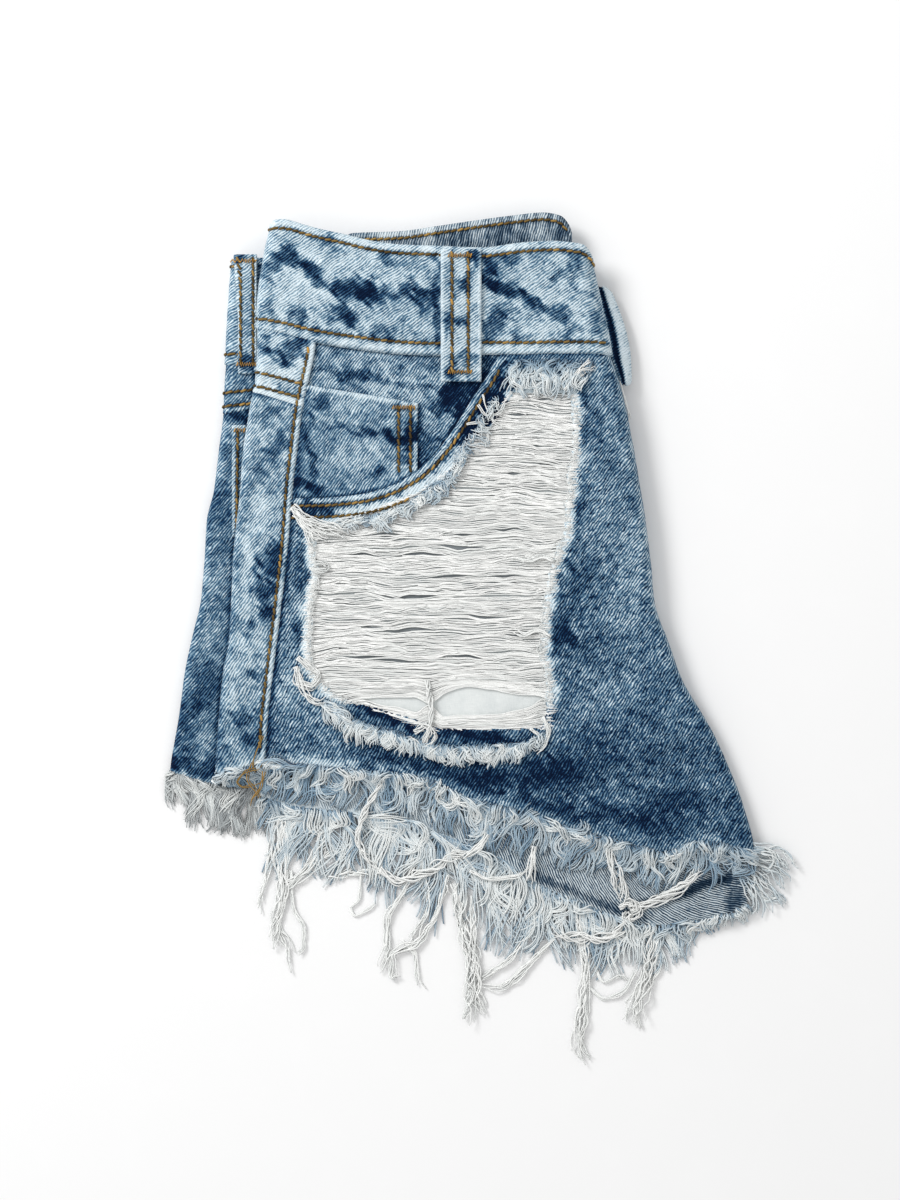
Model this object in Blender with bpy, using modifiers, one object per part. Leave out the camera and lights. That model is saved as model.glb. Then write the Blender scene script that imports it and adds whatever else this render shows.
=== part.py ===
"""Cut-off denim shorts, folded in half along the centre front and lying flat, front side up.

X runs across the waistband, Y up the garment towards the waistband, Z up from the surface it lies on.
The origin is the middle of the whole footprint, on that surface. Tables are in millimetres.
"""
import math

import bmesh
import bpy
import numpy as np

MM = 0.001
NAME = "folded_denim_shorts"

# Cloth sizes, in millimetres.
DENIM = 1.2            # one layer of denim
FELLED = 1.8           # denim with the allowance that is felled over its neighbour
BAND = 3.2             # waistband: two layers and the turned edges
BAND_SINK = 0.9        # how far the waistband's inner face lies below the panels' inner faces
POCKETING = 0.8        # cotton pocket bag
LOOP = 1.3             # belt loop, folded in three and pressed
SEAM_GAP = 0.3         # clearance between neighbouring pieces
HEM_GAP = 0.9          # clearance between a cut hem and the strip its frayed threads are rooted in
POCKET_DEPTH = 1.5     # how far the facing and bag lie below the front
LEFT_BAND = 2.4        # the left waistband's outer layers
LEFT_YOKE = 1.6        # the left yoke, with its felled seam
TUCK = 7.5             # how far the facing reaches below the pocket opening, under the front
INSIDE_HIDDEN = 10.5   # how far the waistband's inside reaches down behind the front waistband
BACK_HEM_HIDDEN = 9.5  # how far the inner back hem reaches up behind the front hem
TIP_LEVEL = 0.9        # where the hanging threads end, above the surface
LOCK_SHARE = 0.68      # how much of its spacing a lock of threads takes

# How far round its roll the cloth is built at each edge, in degrees.
UPPER_TURN = 165
LOWER_TURN = 140
FRONT_TURN = 84

# The garment's width, row by row up the garment: where the lower half's fold, the upper half's fold,
# the side seam and the centre-front edge lie.
WIDTHS = [
    # y,     lower_fold, upper_fold, side_seam, front_edge
    (198.1, -114.8, -98.6, -70.0, 52.4),
    (181.4, -117.1, -102.1, -72.9, 53.3),
    (162.4, -118.6, -104.8, -75.2, 57.1),
    (148.1, -119.5, -105.2, -77.1, 60.5),
    (136.2, -120.0, -105.5, -78.6, 62.4),
    (124.3, -121.0, -106.2, -81.2, 66.7),
    (110.0, -122.0, -109.3, -84.3, 70.0),
    (91.0, -124.3, -112.1, -86.7, 73.8),
    (71.9, -126.7, -113.6, -89.0, 77.1),
    (57.6, -130.2, -115.2, -90.0, 79.3),
    (38.6, -131.2, -117.1, -91.7, 81.7),
    (19.5, -132.9, -117.9, -94.0, 83.6),
    (0.5, -137.6, -119.3, -96.4, 90.0),
    (-18.6, -141.2, -122.4, -98.8, 97.1),
    (-37.6, -143.8, -124.0, -101.0, 108.1),
    (-56.7, -147.1, -125.5, -102.1, 117.9),
    (-75.7, -149.5, -126.2, -102.9, 125.2),
    (-101.9, -151.0, -127.1, -103.3, 131.4),
    (-125.7, -151.0, -127.1, -103.3, 129.5),
]

# The stack's height, row by row: the lower half's cloth, the level between the halves, the upper half's.
HEIGHTS = [
    # y,     lower, middle, upper
    (198.1, 8.4, 11.4, 17.6),
    (136.2, 8.0, 11.0, 17.2),
    (110.0, 7.2, 10.2, 15.6),
    (57.6, 6.2, 9.2, 14.0),
    (0.5, 5.0, 7.6, 12.4),
    (-37.6, 4.2, 6.2, 10.6),
    (-62.0, 3.4, 5.0, 9.0),
    (-101.9, 2.9, 4.4, 8.0),
    (-135.7, 2.4, 3.9, 7.0),
]

# The waistband's edges, row by row across the garment.
WAIST = [
    # x,     top,  seam
    (-105.2, 197.6, 148.6),
    (-98.6, 198.1, 147.1),
    (-92.9, 198.6, 146.2),
    (-83.8, 196.2, 143.8),
    (-74.8, 193.8, 141.9),
    (-65.7, 191.9, 140.5),
    (-51.9, 188.6, 138.6),
    (-38.1, 186.7, 137.1),
    (-20.0, 186.0, 136.4),
    (1.4, 185.2, 136.9),
    (21.4, 187.6, 136.7),
    (35.2, 188.3, 137.1),
    (49.0, 186.7, 137.1),
    (53.3, 182.4, 137.1),
    (61.9, 171.9, 136.2),
]

# The top edge of the waistband's inside, where the right back shows above the front.
INSIDE = [
    # x,    top
    (-66.2, 189.5),
    (-60.0, 192.9),
    (-37.6, 193.8),
    (-19.5, 196.3),
    (-1.2, 199.0),
    (17.1, 201.4),
    (30.7, 202.7),
    (38.1, 201.4),
    (41.4, 198.1),
    (44.8, 188.6),
]

# The three cut hems, row by row across the garment.
HEMS = [
    # x,      upper,  inner,  lower
    (-148.1, -62.4, -63.8, -62.4),
    (-125.7, -62.4, -69.0, -68.6),
    (-101.9, -58.1, -74.8, -71.0),
    (-85.2, -58.6, -79.4, -75.7),
    (-56.7, -61.4, -82.4, -79.5),
    (-32.9, -63.3, -86.2, -83.3),
    (-20.0, -67.2, -91.9, -88.1),
    (-4.3, -75.2, -97.6, -93.8),
    (11.0, -78.6, -105.2, -100.5),
    (29.0, -83.3, -116.7, -110.0),
    (48.1, -90.9, -124.8, -117.6),
    (62.9, -93.8, -131.0, -123.3),
    (77.6, -98.1, -135.2, -127.1),
    (88.6, -100.5, -135.7, -128.1),
    (98.1, -97.3, -134.8, -127.1),
    (105.7, -95.1, -133.3, -125.7),
    (114.8, -96.2, -131.4, -123.3),
    (128.1, -100.5, -125.7, -118.6),
    (131.4, -101.9, -121.0, -113.8),
]

# The curved front pocket opening, from the side seam to the waist seam.
POCKET_OPENING = [
    # x,    y
    (-89.0, 67.4),
    (-74.8, 67.6),
    (-56.7, 69.2),
    (-42.9, 72.9),
    (-29.0, 80.5),
    (-19.5, 89.7),
    (-10.3, 102.5),
    (-3.0, 114.3),
    (2.4, 122.5),
    (8.0, 132.0),
]

# The rip in the right front, row by row down the leg.
RIP = [
    # y,    left,  right
    (117.6, 15.7, 42.4),
    (111.4, 11.4, 44.8),
    (103.3, 7.1, 44.8),
    (91.0, -7.6, 44.8),
    (78.6, -14.8, 42.4),
    (70.0, -29.0, 42.9),
    (63.3, -44.3, 41.4),
    (57.6, -63.8, 41.4),
    (51.9, -77.6, 41.0),
    (43.3, -78.6, 37.1),
    (32.9, -76.7, 34.3),
    (19.5, -79.0, 31.4),
    (5.2, -80.0, 30.0),
    (-5.2, -80.5, 29.0),
    (-14.8, -78.6, 31.9),
    (-25.7, -68.6, 32.4),
    (-32.9, -48.1, 32.4),
    (-38.6, -28.1, 31.4),
    (-42.4, -18.6, 29.5),
]

# The two open gaps between the threads that are left in the rip, row by row across.
GAPS = {
    "wedge": [
        # x,    top,   bottom
        (-52.9, -26.9, -28.1),
        (-40.0, -26.7, -31.2),
        (-27.1, -26.9, -35.2),
    ],
    "lens": [
        # x,    top,   bottom
        (-20.0, -26.7, -36.7),
        (-13.8, -23.8, -35.7),
        (-5.2, -21.7, -34.8),
        (7.6, -23.6, -35.0),
        (17.1, -26.2, -33.3),
        (28.0, -27.4, -30.7),
    ],
}

# The largest soft folds and dents of the cloth. Angle is the way a fold runs, from +X, in degrees.
FOLDS = [
    # x,    y,    angle, length, width, height
    (-104.0, 30.0, 62, 34, 14, 0.8),
    (-104.0, -20.0, 75, 30, 13, -0.7),
    (-40.0, -52.0, 10, 44, 14, 0.7),
    (56.0, 60.0, 75, 50, 15, 0.8),
    (66.0, -10.0, 40, 42, 15, -0.9),
    (62.0, -56.0, 20, 44, 15, 0.9),
    (92.0, -66.0, 55, 34, 14, -0.8),
    (12.0, -66.0, 160, 36, 14, -0.6),
    (-30.0, 165.0, 12, 44, 14, 0.8),
    (25.0, 160.0, -15, 30, 14, -0.8),
    (-60.0, 110.0, -40, 34, 16, 0.7),
]

# The frayed hems. Reach is how far the threads hang past the cloth's edge at each place.
UPPER_REACH = [
    # x,      reach
    (-124.0, 10.0),
    (-100.0, 13.0),
    (-80.0, 15.0),
    (-20.0, 14.0),
    (60.0, 13.0),
    (110.0, 15.0),
    (131.0, 18.0),
]
INNER_REACH = [
    # x,     reach
    (-100.0, 15.0),
    (-89.0, 32.0),
    (-55.0, 36.0),
    (-20.0, 46.0),
    (20.0, 42.0),
    (48.0, 30.0),
    (75.0, 27.0),
    (95.0, 16.0),
    (114.0, 6.0),
    (130.0, 8.0),
]
LOWER_REACH = [
    # x,      reach
    (-148.0, 15.0),
    (-135.0, 22.0),
    (-118.0, 27.0),
    (-106.0, 25.0),
]

# The long thread bundles of the inner hem: where each leaves the hem and where its tip lies.
BUNDLES = [
    # x,     tip_x,  tip_y
    (-98.0, -97.6, -149.5),
    (-91.0, -89.5, -161.0),
    (-84.0, -82.4, -149.5),
    (-58.0, -55.7, -131.0),
    (-44.0, -39.6, -166.7),
    (-37.0, -32.4, -163.8),
    (-16.0, -9.1, -185.2),
    (-9.0, -1.2, -181.9),
    (12.0, 17.9, -152.9),
    (26.0, 31.4, -163.8),
    (39.0, 45.2, -175.7),
    (46.0, 52.4, -202.9),
    (53.0, 57.2, -170.3),
    (66.0, 69.3, -180.5),
    (73.0, 75.8, -185.5),
    (80.0, 82.6, -164.6),
]

# The tuft at the front corner of the upper hem.
CORNER_TUFT = [
    # x,     tip_x, tip_y
    (114.0, 122.5, -119.0),
    (121.0, 134.5, -122.0),
    (128.0, 150.5, -114.0),
]

# The outermost lock of the left hem.
LEFT_TUFT = [
    # x,      tip_x,  tip_y
    (-144.0, -151.4, -76.2),
]

# The three belt loops. Lift is how far a loop stands off the cloth below it, down its length.
FRONT_LOOP = {"left": -18.1, "right": 1.0, "top": 185.0, "bottom": 123.4}
SIDE_LOOP = {"left": -114.6, "right": -105.6, "top": 183.4, "bottom": 127.6}
FRONT_LOOP_LIFT = [
    # share, lift
    (0.0, 2.5),
    (0.2, 2.9),
    (0.5, 3.1),
    (0.74, 2.8),
    (0.82, 2.5),
    (0.9, 1.7),
    (1.0, 1.5),
]
SIDE_LOOP_LIFT = [
    # share, lift
    (0.0, 3.0),
    (0.3, 3.2),
    (0.6, 3.2),
    (0.86, 2.9),
    (0.94, 2.8),
    (1.0, 2.2),
]
BACK_LOOP = [
    # y,    outer
    (168.6, 61.9),
    (158.6, 66.0),
    (146.7, 69.8),
    (134.0, 71.9),
    (122.4, 72.2),
]
BACK_LOOP_LEVEL = 8.6
BACK_LOOP_DROP = 3.2

# The ends of the pieces' edges.
FRONT = {"waist_left": 11.0, "corner": 61.5, "hem_left": -102.0, "hem_right": 131.0}
BAG = {
    "top_left": (-84.0, 54.6),
    "peak": (17.0, 122.0),
    "top_right": (48.0, 124.0),
    "bottom_left": (-84.0, -50.0),
    "bottom_right": (50.0, -50.0),
}
FACING = {"left": -77.4, "right": 14.0, "bottom_left": (-88.4, 57.2), "bottom_right": (12.6, 122.5)}
INSIDE_ENDS = (-62.0, 43.0)
BACK_HEM_ENDS = (-104.0, 128.0)

# The hidden layers: the ends of their edges in X, and how the lower half's rim rounds.
BASE_TOP = (-112.0, 51.5)
LEFT_CORNER = (-103.0, -97.5)   # where their top edge climbs from the left waistband to the upper one
BASE_HEM = (-146.5, 128.5)
CAP_TOP = (-96.0, 50.0)
CAP_HEM_RIGHT = 118.0
RIM_ROUND = 4.2
RIM = [
    # inset, share of the height
    (0.0, 0.22),
    (0.0, 0.42),
    (0.7, 0.5),
    (0.0, 0.58),
    (0.0, 1.0),
]

COIN_POCKET_TOP = [
    # x,     y
    (-84.6, 121.4),
    (-29.5, 112.6),
]
YOKE_EDGE = [
    # x,     y
    (-106.3, 118.1),
    (-84.0, 111.2),
]
LEFT_YOKE_EDGE = [
    # x,     y
    (-120.5, 108.6),
    (-109.2, 110.5),
]
LEFT_BAND_TOP = 181.6
LEFT_BAND_SEAM = 132.0
LEFT_POCKET = {"left": -117.4, "top": 102.5, "bottom": 50.0}

# The frayed edges of the rip: where the threads are rooted and how far they reach.
RIP_FRAY_BOTTOM = [
    # x,    y,     reach
    (-74.0, -26.9, 14.0),
    (-63.8, -35.0, 11.0),
    (-49.5, -40.2, 9.5),
    (-37.6, -43.4, 9.0),
    (-25.7, -47.6, 9.5),
    (-12.0, -49.5, 10.0),
    (0.5, -49.5, 10.0),
    (19.5, -48.1, 10.0),
    (30.0, -43.0, 7.0),
]
RIP_FRAY_TOP = [
    # x,   y,     reach
    (13.5, 132.6, 15.0),
    (24.0, 133.0, 13.0),
    (38.0, 133.2, 12.0),
    (51.0, 132.6, 8.0),
]

# Colours, as linear red, green and blue.
BLEACHED = (0.36, 0.50, 0.66)
INDIGO = (0.10, 0.20, 0.38)
FADED = (0.20, 0.33, 0.52)
INNER_FACE = (0.34, 0.42, 0.52)
COTTON = (0.80, 0.79, 0.76)
PALE_THREAD = (0.60, 0.70, 0.77)


def smooth(rows, column):
    """A smooth curve through one column of a table, against its first column, level past both ends."""
    table = sorted((row[0], row[column]) for row in rows)
    xs = np.array([row[0] for row in table])
    ys = np.array([row[1] for row in table])
    slopes = np.diff(ys) / np.diff(xs)
    product = slopes[:-1] * slopes[1:]
    total = np.where(product > 0, slopes[:-1] + slopes[1:], 1)
    inner = np.where(product > 0, 2 * product / total, 0)
    ends = np.concatenate(([slopes[0]], inner, [slopes[-1]]))

    def at(value):
        value = np.clip(value, xs[0], xs[-1])
        i = np.clip(np.searchsorted(xs, value, side="right") - 1, 0, len(xs) - 2)
        span = xs[i + 1] - xs[i]
        t = (value - xs[i]) / span
        return (
            (1 + 2 * t) * (1 - t) ** 2 * ys[i]
            + t * (1 - t) ** 2 * span * ends[i]
            + t * t * (3 - 2 * t) * ys[i + 1]
            + t * t * (t - 1) * span * ends[i + 1]
        )

    return at


lower_fold, upper_fold, side_seam, front_edge = (smooth(WIDTHS, column) for column in (1, 2, 3, 4))
lower_level, middle_level, upper_level = (smooth(HEIGHTS, column) for column in (1, 2, 3))
waist_top, waist_seam = (smooth(WAIST, column) for column in (1, 2))
inside_top = smooth(INSIDE, 1)
upper_hem, inner_hem, lower_hem = (smooth(HEMS, column) for column in (1, 2, 3))
pocket_edge = smooth(POCKET_OPENING, 1)
yoke_edge = smooth(YOKE_EDGE, 1)
left_yoke_edge = smooth(LEFT_YOKE_EDGE, 1)


def folds(x, y):
    """Height of the soft folds at a place on the upper half."""
    total = np.zeros(np.broadcast(x, y).shape)
    for fold_x, fold_y, angle, length, width, height in FOLDS:
        turn = math.radians(angle)
        along = (x - fold_x) * math.cos(turn) + (y - fold_y) * math.sin(turn)
        across = (y - fold_y) * math.cos(turn) - (x - fold_x) * math.sin(turn)
        total = total + height * np.exp(-((along / length) ** 2) - (across / width) ** 2)
    return total


def rolled(x, d, level, left, left_roll, right, right_roll):
    """Carry a point x along the cloth and d out of it, over the roll at either edge of a folded half."""
    left_centre = left + left_roll
    right_centre = right - right_roll
    left_turn = np.maximum(left_centre - x, 0) / left_roll
    right_turn = np.maximum(x - right_centre, 0) / right_roll
    flat_x = np.clip(x, left_centre, right_centre)
    turn = left_turn + right_turn
    roll = np.where(left_turn > 0, left_roll, right_roll)
    side = np.where(left_turn > 0, -1.0, 1.0)
    out_x = flat_x + side * (roll + d) * np.sin(turn)
    out_z = level - roll + (roll + d) * np.cos(turn)
    return out_x, np.where(turn > 0, out_z, level + d)


def upper_roll(y):
    """Inner radius of the upper half's side fold, so that the doubled cloth fills its height."""
    return np.maximum((upper_level(y) - FELLED - middle_level(y)) / 2, 0.8)


def front_roll(y):
    """Inner radius of the roll at the centre front, from the top down to the middle of the stack."""
    return upper_level(y) - middle_level(y)


def upper(x, y, d):
    """A point on the upper half's cloth: x and y along it, d out of it."""
    x, y, d = (np.asarray(value, float) for value in np.broadcast_arrays(x, y, d))
    left = upper_fold(y) + FELLED
    right = front_edge(y) - DENIM
    inside = np.clip(x, left + 4.0, right - 4.0)
    fade = np.clip(np.minimum(x - left, right - x) / 14.0, 0, 1)
    level = upper_level(y) + folds(inside, y) * fade * fade * (3 - 2 * fade)
    out_x, out_z = rolled(x, d, level, left, upper_roll(y), right, front_roll(y))
    return np.stack([out_x, y, out_z], axis=-1)


def lower_roll(y):
    """Inner radius of the lower half's side fold, which ends just clear of the surface."""
    return np.maximum((lower_level(y) - DENIM - 0.4) / 2, 0.7)


def lower(x, y, d):
    """A point on the lower half's cloth: x and y along it, d out of it."""
    x, y, d = (np.asarray(value, float) for value in np.broadcast_arrays(x, y, d))
    left = lower_fold(y) + DENIM
    out_x, out_z = rolled(x, d, lower_level(y), left, lower_roll(y), front_edge(y) + 40.0, 4.0)
    return np.stack([out_x, y, out_z], axis=-1)


def path(points):
    """A line through points, as a function of the share of its length."""
    points = np.asarray(points, float)
    steps = np.hypot(*np.diff(points, axis=0).T)
    at = np.concatenate(([0], np.cumsum(steps))) / steps.sum()
    return lambda t: np.stack([np.interp(t, at, points[:, 0]), np.interp(t, at, points[:, 1])], axis=-1)


def across(edge, x0, x1, count=40):
    """The line of an edge that is a function of x."""
    xs = np.linspace(x0, x1, count)
    return path(np.stack([xs, edge(xs)], axis=-1))


def down(edge, y0, y1, count=40):
    """The line of an edge that is a function of y."""
    ys = np.linspace(y0, y1, count)
    return path(np.stack([edge(ys) + 0 * ys, ys], axis=-1))


def line_length(line):
    """The length of a line given by share."""
    return np.hypot(*np.diff(line(np.linspace(0, 1, 200)), axis=0).T).sum()


def straight(x0, y0, x1, y1):
    """A straight line between two points."""
    return path([(x0, y0), (x1, y1)])


def by_step(points):
    """A line through points, as a function of how far through the list it is."""
    points = np.asarray(points, float)
    at = np.linspace(0, 1, len(points))
    return lambda t: np.stack([np.interp(t, at, points[:, 0]), np.interp(t, at, points[:, 1])], axis=-1)


def drawn_in(ring, inset):
    """A clockwise ring of points, drawn in by its own normal."""
    along = np.roll(ring, -1, axis=0) - np.roll(ring, 1, axis=0)
    normal = np.stack([along[:, 1], -along[:, 0]], axis=-1)
    normal /= np.linalg.norm(normal, axis=1)[:, None]
    return ring + normal * (np.asarray(inset) + np.zeros(len(ring)))[:, None]


def between(left_of, right_of, start, end, shares, rows):
    """A grid between two edges that are functions of y and two that are functions of x."""
    flat = np.zeros((rows + 1, len(shares), 2))
    for i in range(rows + 1):
        for j, u in enumerate(shares):
            x = 0.0
            for _ in range(4):
                y = float(start(x) + (end(x) - start(x)) * i / rows)
                x = float((1 - u) * left_of(y) + u * right_of(y))
            flat[i, j] = x, y
    return flat


def spread(*stretches):
    """Shares from 0 to 1 in stretches of even steps, each given as its end and its number of steps."""
    shares = [0.0]
    for end, steps in stretches:
        shares += list(np.linspace(shares[-1], end, steps + 1)[1:])
    return np.array(shares)


def upper_turned(y):
    """How far along the cloth the upper half's side fold goes under."""
    return upper_fold(y) + FELLED + upper_roll(y) * (1 - math.radians(UPPER_TURN))


def lower_turned(y):
    """How far along the cloth the lower half's side fold goes under."""
    return lower_fold(y) + DENIM + lower_roll(y) * (1 - math.radians(LOWER_TURN))


def front_end(y):
    """How far along the cloth the centre-front seam lies, round the roll."""
    return front_edge(y) - DENIM + front_roll(y) * (math.radians(FRONT_TURN) - 1)


def patch(top, bottom, left, right, columns, rows):
    """A grid of flat points filling four edge lines. Columns is their number, or their shares."""
    columns = columns if np.ndim(columns) else np.linspace(0, 1, columns + 1)
    u = columns[None, :, None]
    v = np.linspace(0, 1, rows + 1)[:, None, None]
    top_line = top(u[0, :, 0])[None]
    bottom_line = bottom(u[0, :, 0])[None]
    left_line = left(v[:, 0, 0])[:, None]
    right_line = right(v[:, 0, 0])[:, None]
    corners = (
        (1 - u) * (1 - v) * top_line[:, :1]
        + u * (1 - v) * top_line[:, -1:]
        + (1 - u) * v * bottom_line[:, :1]
        + u * v * bottom_line[:, -1:]
    )
    return (1 - v) * top_line + v * bottom_line + (1 - u) * left_line + u * right_line - corners


def material(name, colour, roughness=0.95):
    """A plain matt cloth material."""
    made = bpy.data.materials.get(name) or bpy.data.materials.new(name)
    made.use_nodes = True
    shader = made.node_tree.nodes["Principled BSDF"]
    shader.inputs["Base Color"].default_value = (*colour, 1)
    shader.inputs["Roughness"].default_value = roughness
    shader.inputs["Metallic"].default_value = 0.0
    made.diffuse_color = (*colour, 1)
    return made


def add_object(name, mesh_data, finish=None, collection=NAME):
    """Put a bmesh into a new object of the given collection."""
    mesh = bpy.data.meshes.new(name)
    mesh_data.to_mesh(mesh)
    mesh_data.free()
    thing = bpy.data.objects.new(name, mesh)
    bpy.data.collections[collection].objects.link(thing)
    if finish:
        mesh.materials.append(finish)
    return thing


def grid_faces(mesh_data, points):
    """Fill a grid of points with four-sided faces."""
    rows, columns = points.shape[:2]
    corners = [[mesh_data.verts.new(points[i, j] * MM) for j in range(columns)] for i in range(rows)]
    for i in range(rows - 1):
        for j in range(columns - 1):
            mesh_data.faces.new((corners[i][j], corners[i + 1][j], corners[i + 1][j + 1], corners[i][j + 1]))


def sheet(name, points, thickness, finish):
    """An open surface through a grid of points, given its thickness with Solidify."""
    mesh_data = bmesh.new()
    grid_faces(mesh_data, points)
    bmesh.ops.recalc_face_normals(mesh_data, faces=mesh_data.faces)
    piece = add_object(name, mesh_data, finish)
    wall = piece.modifiers.new("Cloth thickness", "SOLIDIFY")
    wall.thickness = thickness * MM
    wall.offset = 0
    return piece


def cloth(name, place, flat, lift, thickness, finish):
    """A piece of cloth laid on the folded form, with its inner face lifted off it."""
    x, y = flat[..., 0], flat[..., 1]
    return sheet(name, place(x, y, lift + thickness / 2 + 0 * x), thickness, finish)


def cutter(name, outline, low=2.0, high=22.0):
    """An upright prism that cuts a hole through the cloth."""
    mesh_data = bmesh.new()
    floor = mesh_data.faces.new([mesh_data.verts.new((x * MM, y * MM, low * MM)) for x, y in outline])
    floor.normal_update()
    if floor.normal.z > 0:
        floor.normal_flip()
    moved = bmesh.ops.extrude_face_region(mesh_data, geom=[floor], use_keep_orig=True)["geom"]
    rise = (0, 0, (high - low) * MM)
    bmesh.ops.translate(mesh_data, verts=[v for v in moved if isinstance(v, bmesh.types.BMVert)], vec=rise)
    bmesh.ops.recalc_face_normals(mesh_data, faces=mesh_data.faces)
    tool = add_object(name, mesh_data, collection="cutters")
    tool.hide_render = True
    tool.display_type = "WIRE"
    return tool


def cut(piece, tool):
    """Take a cutter out of a piece."""
    change = piece.modifiers.new("Cut " + tool.name, "BOOLEAN")
    change.object = tool
    change.operation = "DIFFERENCE"


def rip_outline(inset):
    """The rip's outline, clockwise from its top right, drawn in by an inset."""
    left = [(left, y) for y, left, right in RIP]
    right = [(right, y) for y, left, right in RIP]
    return drawn_in(np.array(right + left[::-1]), inset)


def comb(name, place, line, heading, strands, lift, thickness, finish, depth=2.4, steps=3):
    """A frayed edge: a narrow strip along a line, with tapered locks of thread drawn out of its front.

    line gives the strip's back edge, heading the way the threads run at a share of the line, and strands is a
    list of (share, width, tip) rows, in order along the line, with tip the place of the lock's end.
    """
    ends = {0.0, 1.0}
    for share, width, tip in strands:
        ends |= {round(share - width / 2, 5), round(share + width / 2, 5)}
    edges = np.array(sorted(share for share in ends if 0 <= share <= 1))
    back = line(edges)
    front = back + depth * heading(edges)
    mesh_data = bmesh.new()
    flat = np.stack([back, front])
    grid_faces(mesh_data, place(flat[..., 0], flat[..., 1], lift + thickness / 2 + 0 * flat[..., 0]))
    mesh_data.normal_update()
    if sum(face.normal.z for face in mesh_data.faces) < 0:
        bmesh.ops.reverse_faces(mesh_data, faces=mesh_data.faces)
    bmesh.ops.solidify(mesh_data, geom=mesh_data.faces[:], thickness=thickness * MM)
    mesh_data.normal_update()
    middles = (edges[1:] + edges[:-1]) / 2
    aims = heading(middles)
    centres = place(*(line(middles) + depth * aims).T, lift + 0 * middles) * MM
    for share, width, tip in strands:
        i = int(np.argmin(abs(middles - share)))
        ahead = [face for face in mesh_data.faces if np.dot(face.normal[:2], aims[i]) > 0.3]
        root = min(ahead, key=lambda face: math.dist(face.calc_center_median()[:2], centres[i][:2]))
        draw_lock(mesh_data, root, np.array(tip) * MM, steps)
    return add_object(name, mesh_data, finish)


def draw_lock(mesh_data, face, tip, steps):
    """Draw a face out to a tip in tapering steps, sinking faster at first than at the end."""
    start = np.array(face.calc_center_median())
    taper, last_taper = 0.80, 0.55
    for step in range(1, steps + 1):
        share = step / steps
        face = bmesh.ops.extrude_discrete_faces(mesh_data, faces=[face])["faces"][0]
        goal = start + (tip - start) * np.array([share, share, 1 - (1 - share) ** 2])
        middle = np.array(face.calc_center_median())
        for vert in face.verts:
            vert.co = goal + (np.array(vert.co) - middle) * (taper if step < steps else last_taper)


def pocket_line(shift):
    """The pocket opening's curve, moved down under the front."""
    return [(x + shift, y - TUCK - shift) for x, y in POCKET_OPENING[1:-1]]


def build_front():
    """The right front with its rip, the threads left in it, and the white pocket bag behind."""
    left_of = lambda y: side_seam(y) + SEAM_GAP / 2
    corner_y = float(waist_seam(FRONT["corner"])) - SEAM_GAP
    hem_y = float(upper_hem(FRONT["hem_right"]))
    opening = across(pocket_edge, POCKET_OPENING[0][0], POCKET_OPENING[-1][0])(np.linspace(0, 1, 30)).tolist()
    waist_line = across(lambda x: waist_seam(x) - SEAM_GAP, FRONT["waist_left"], FRONT["corner"])
    hem_line = across(upper_hem, FRONT["hem_left"], FRONT["hem_right"])
    top_y = opening[0][1]
    flat = patch(
        path(
            [(float(left_of(top_y)), top_y)] + opening[1:] + waist_line(np.linspace(0, 1, 8)).tolist()
            + [(float(front_end(corner_y)), corner_y)]
        ),
        path(hem_line(np.linspace(0, 1, 60)).tolist() + [(float(front_end(hem_y)), hem_y)]),
        down(left_of, top_y, float(upper_hem(FRONT["hem_left"]))),
        down(front_end, corner_y, hem_y),
        spread((0.95, 23), (1.0, 4)), 18,
    )
    front = cloth("right_front", upper, flat, 0.0, DENIM, material("denim_front", INDIGO))
    cut(front, cutter("rip_cutter", rip_outline(0.0)))

    ring = rip_outline(2 * SEAM_GAP)
    right, left = by_step(ring[:len(RIP)]), by_step(ring[len(RIP):][::-1])
    flat = patch(
        by_step([left(0.0), right(0.0)]), by_step([left(1.0), right(1.0)]), left, right, 9, len(RIP) - 1,
    )
    threads = cloth("rip_threads", upper, flat, 0.1, 0.8, material("weft_thread", COTTON))
    for gap, rows in GAPS.items():
        outline = [(x, top) for x, top, bottom in rows] + [(x, bottom) for x, top, bottom in reversed(rows)]
        cut(threads, cutter("gap_" + gap, outline))

    flat = patch(
        path([BAG["top_left"]] + pocket_line(4.6) + [BAG["peak"], BAG["top_right"]]),
        straight(*BAG["bottom_left"], *BAG["bottom_right"]),
        straight(*BAG["top_left"], *BAG["bottom_left"]),
        straight(*BAG["top_right"], *BAG["bottom_right"]),
        14, 12,
    )
    cloth("front_pocket_bag", upper, flat, SEAM_GAP - POCKET_DEPTH, POCKETING, material("pocketing", COTTON))


def build_pocket():
    """The pocket facing under the curved opening, and the coin pocket on it."""
    waist_line = lambda x: waist_seam(x) - SEAM_GAP
    left, right = FACING["left"], FACING["right"]
    flat = patch(
        across(waist_line, left, right),
        path([FACING["bottom_left"]] + pocket_line(3.0) + [FACING["bottom_right"]]),
        down(lambda y: side_seam(y) + SEAM_GAP / 2, float(waist_line(left)), FACING["bottom_left"][1]),
        straight(right, float(waist_line(right)), *FACING["bottom_right"]),
        11, 9,
    )
    cloth("front_pocket_facing", upper, flat, -POCKET_DEPTH, DENIM, material("denim_facing", FADED))
    top = smooth(COIN_POCKET_TOP, 1)
    flat = between(
        lambda y: side_seam(y) + 0.5, lambda y: COIN_POCKET_TOP[-1][0] + 0 * y,
        top, lambda x: pocket_edge(x) + 2 * SEAM_GAP, spread((1.0, 7)), 5,
    )
    cloth("coin_pocket", upper, flat, 0.0, DENIM - 0.2, material("denim_coin", BLEACHED))


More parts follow.
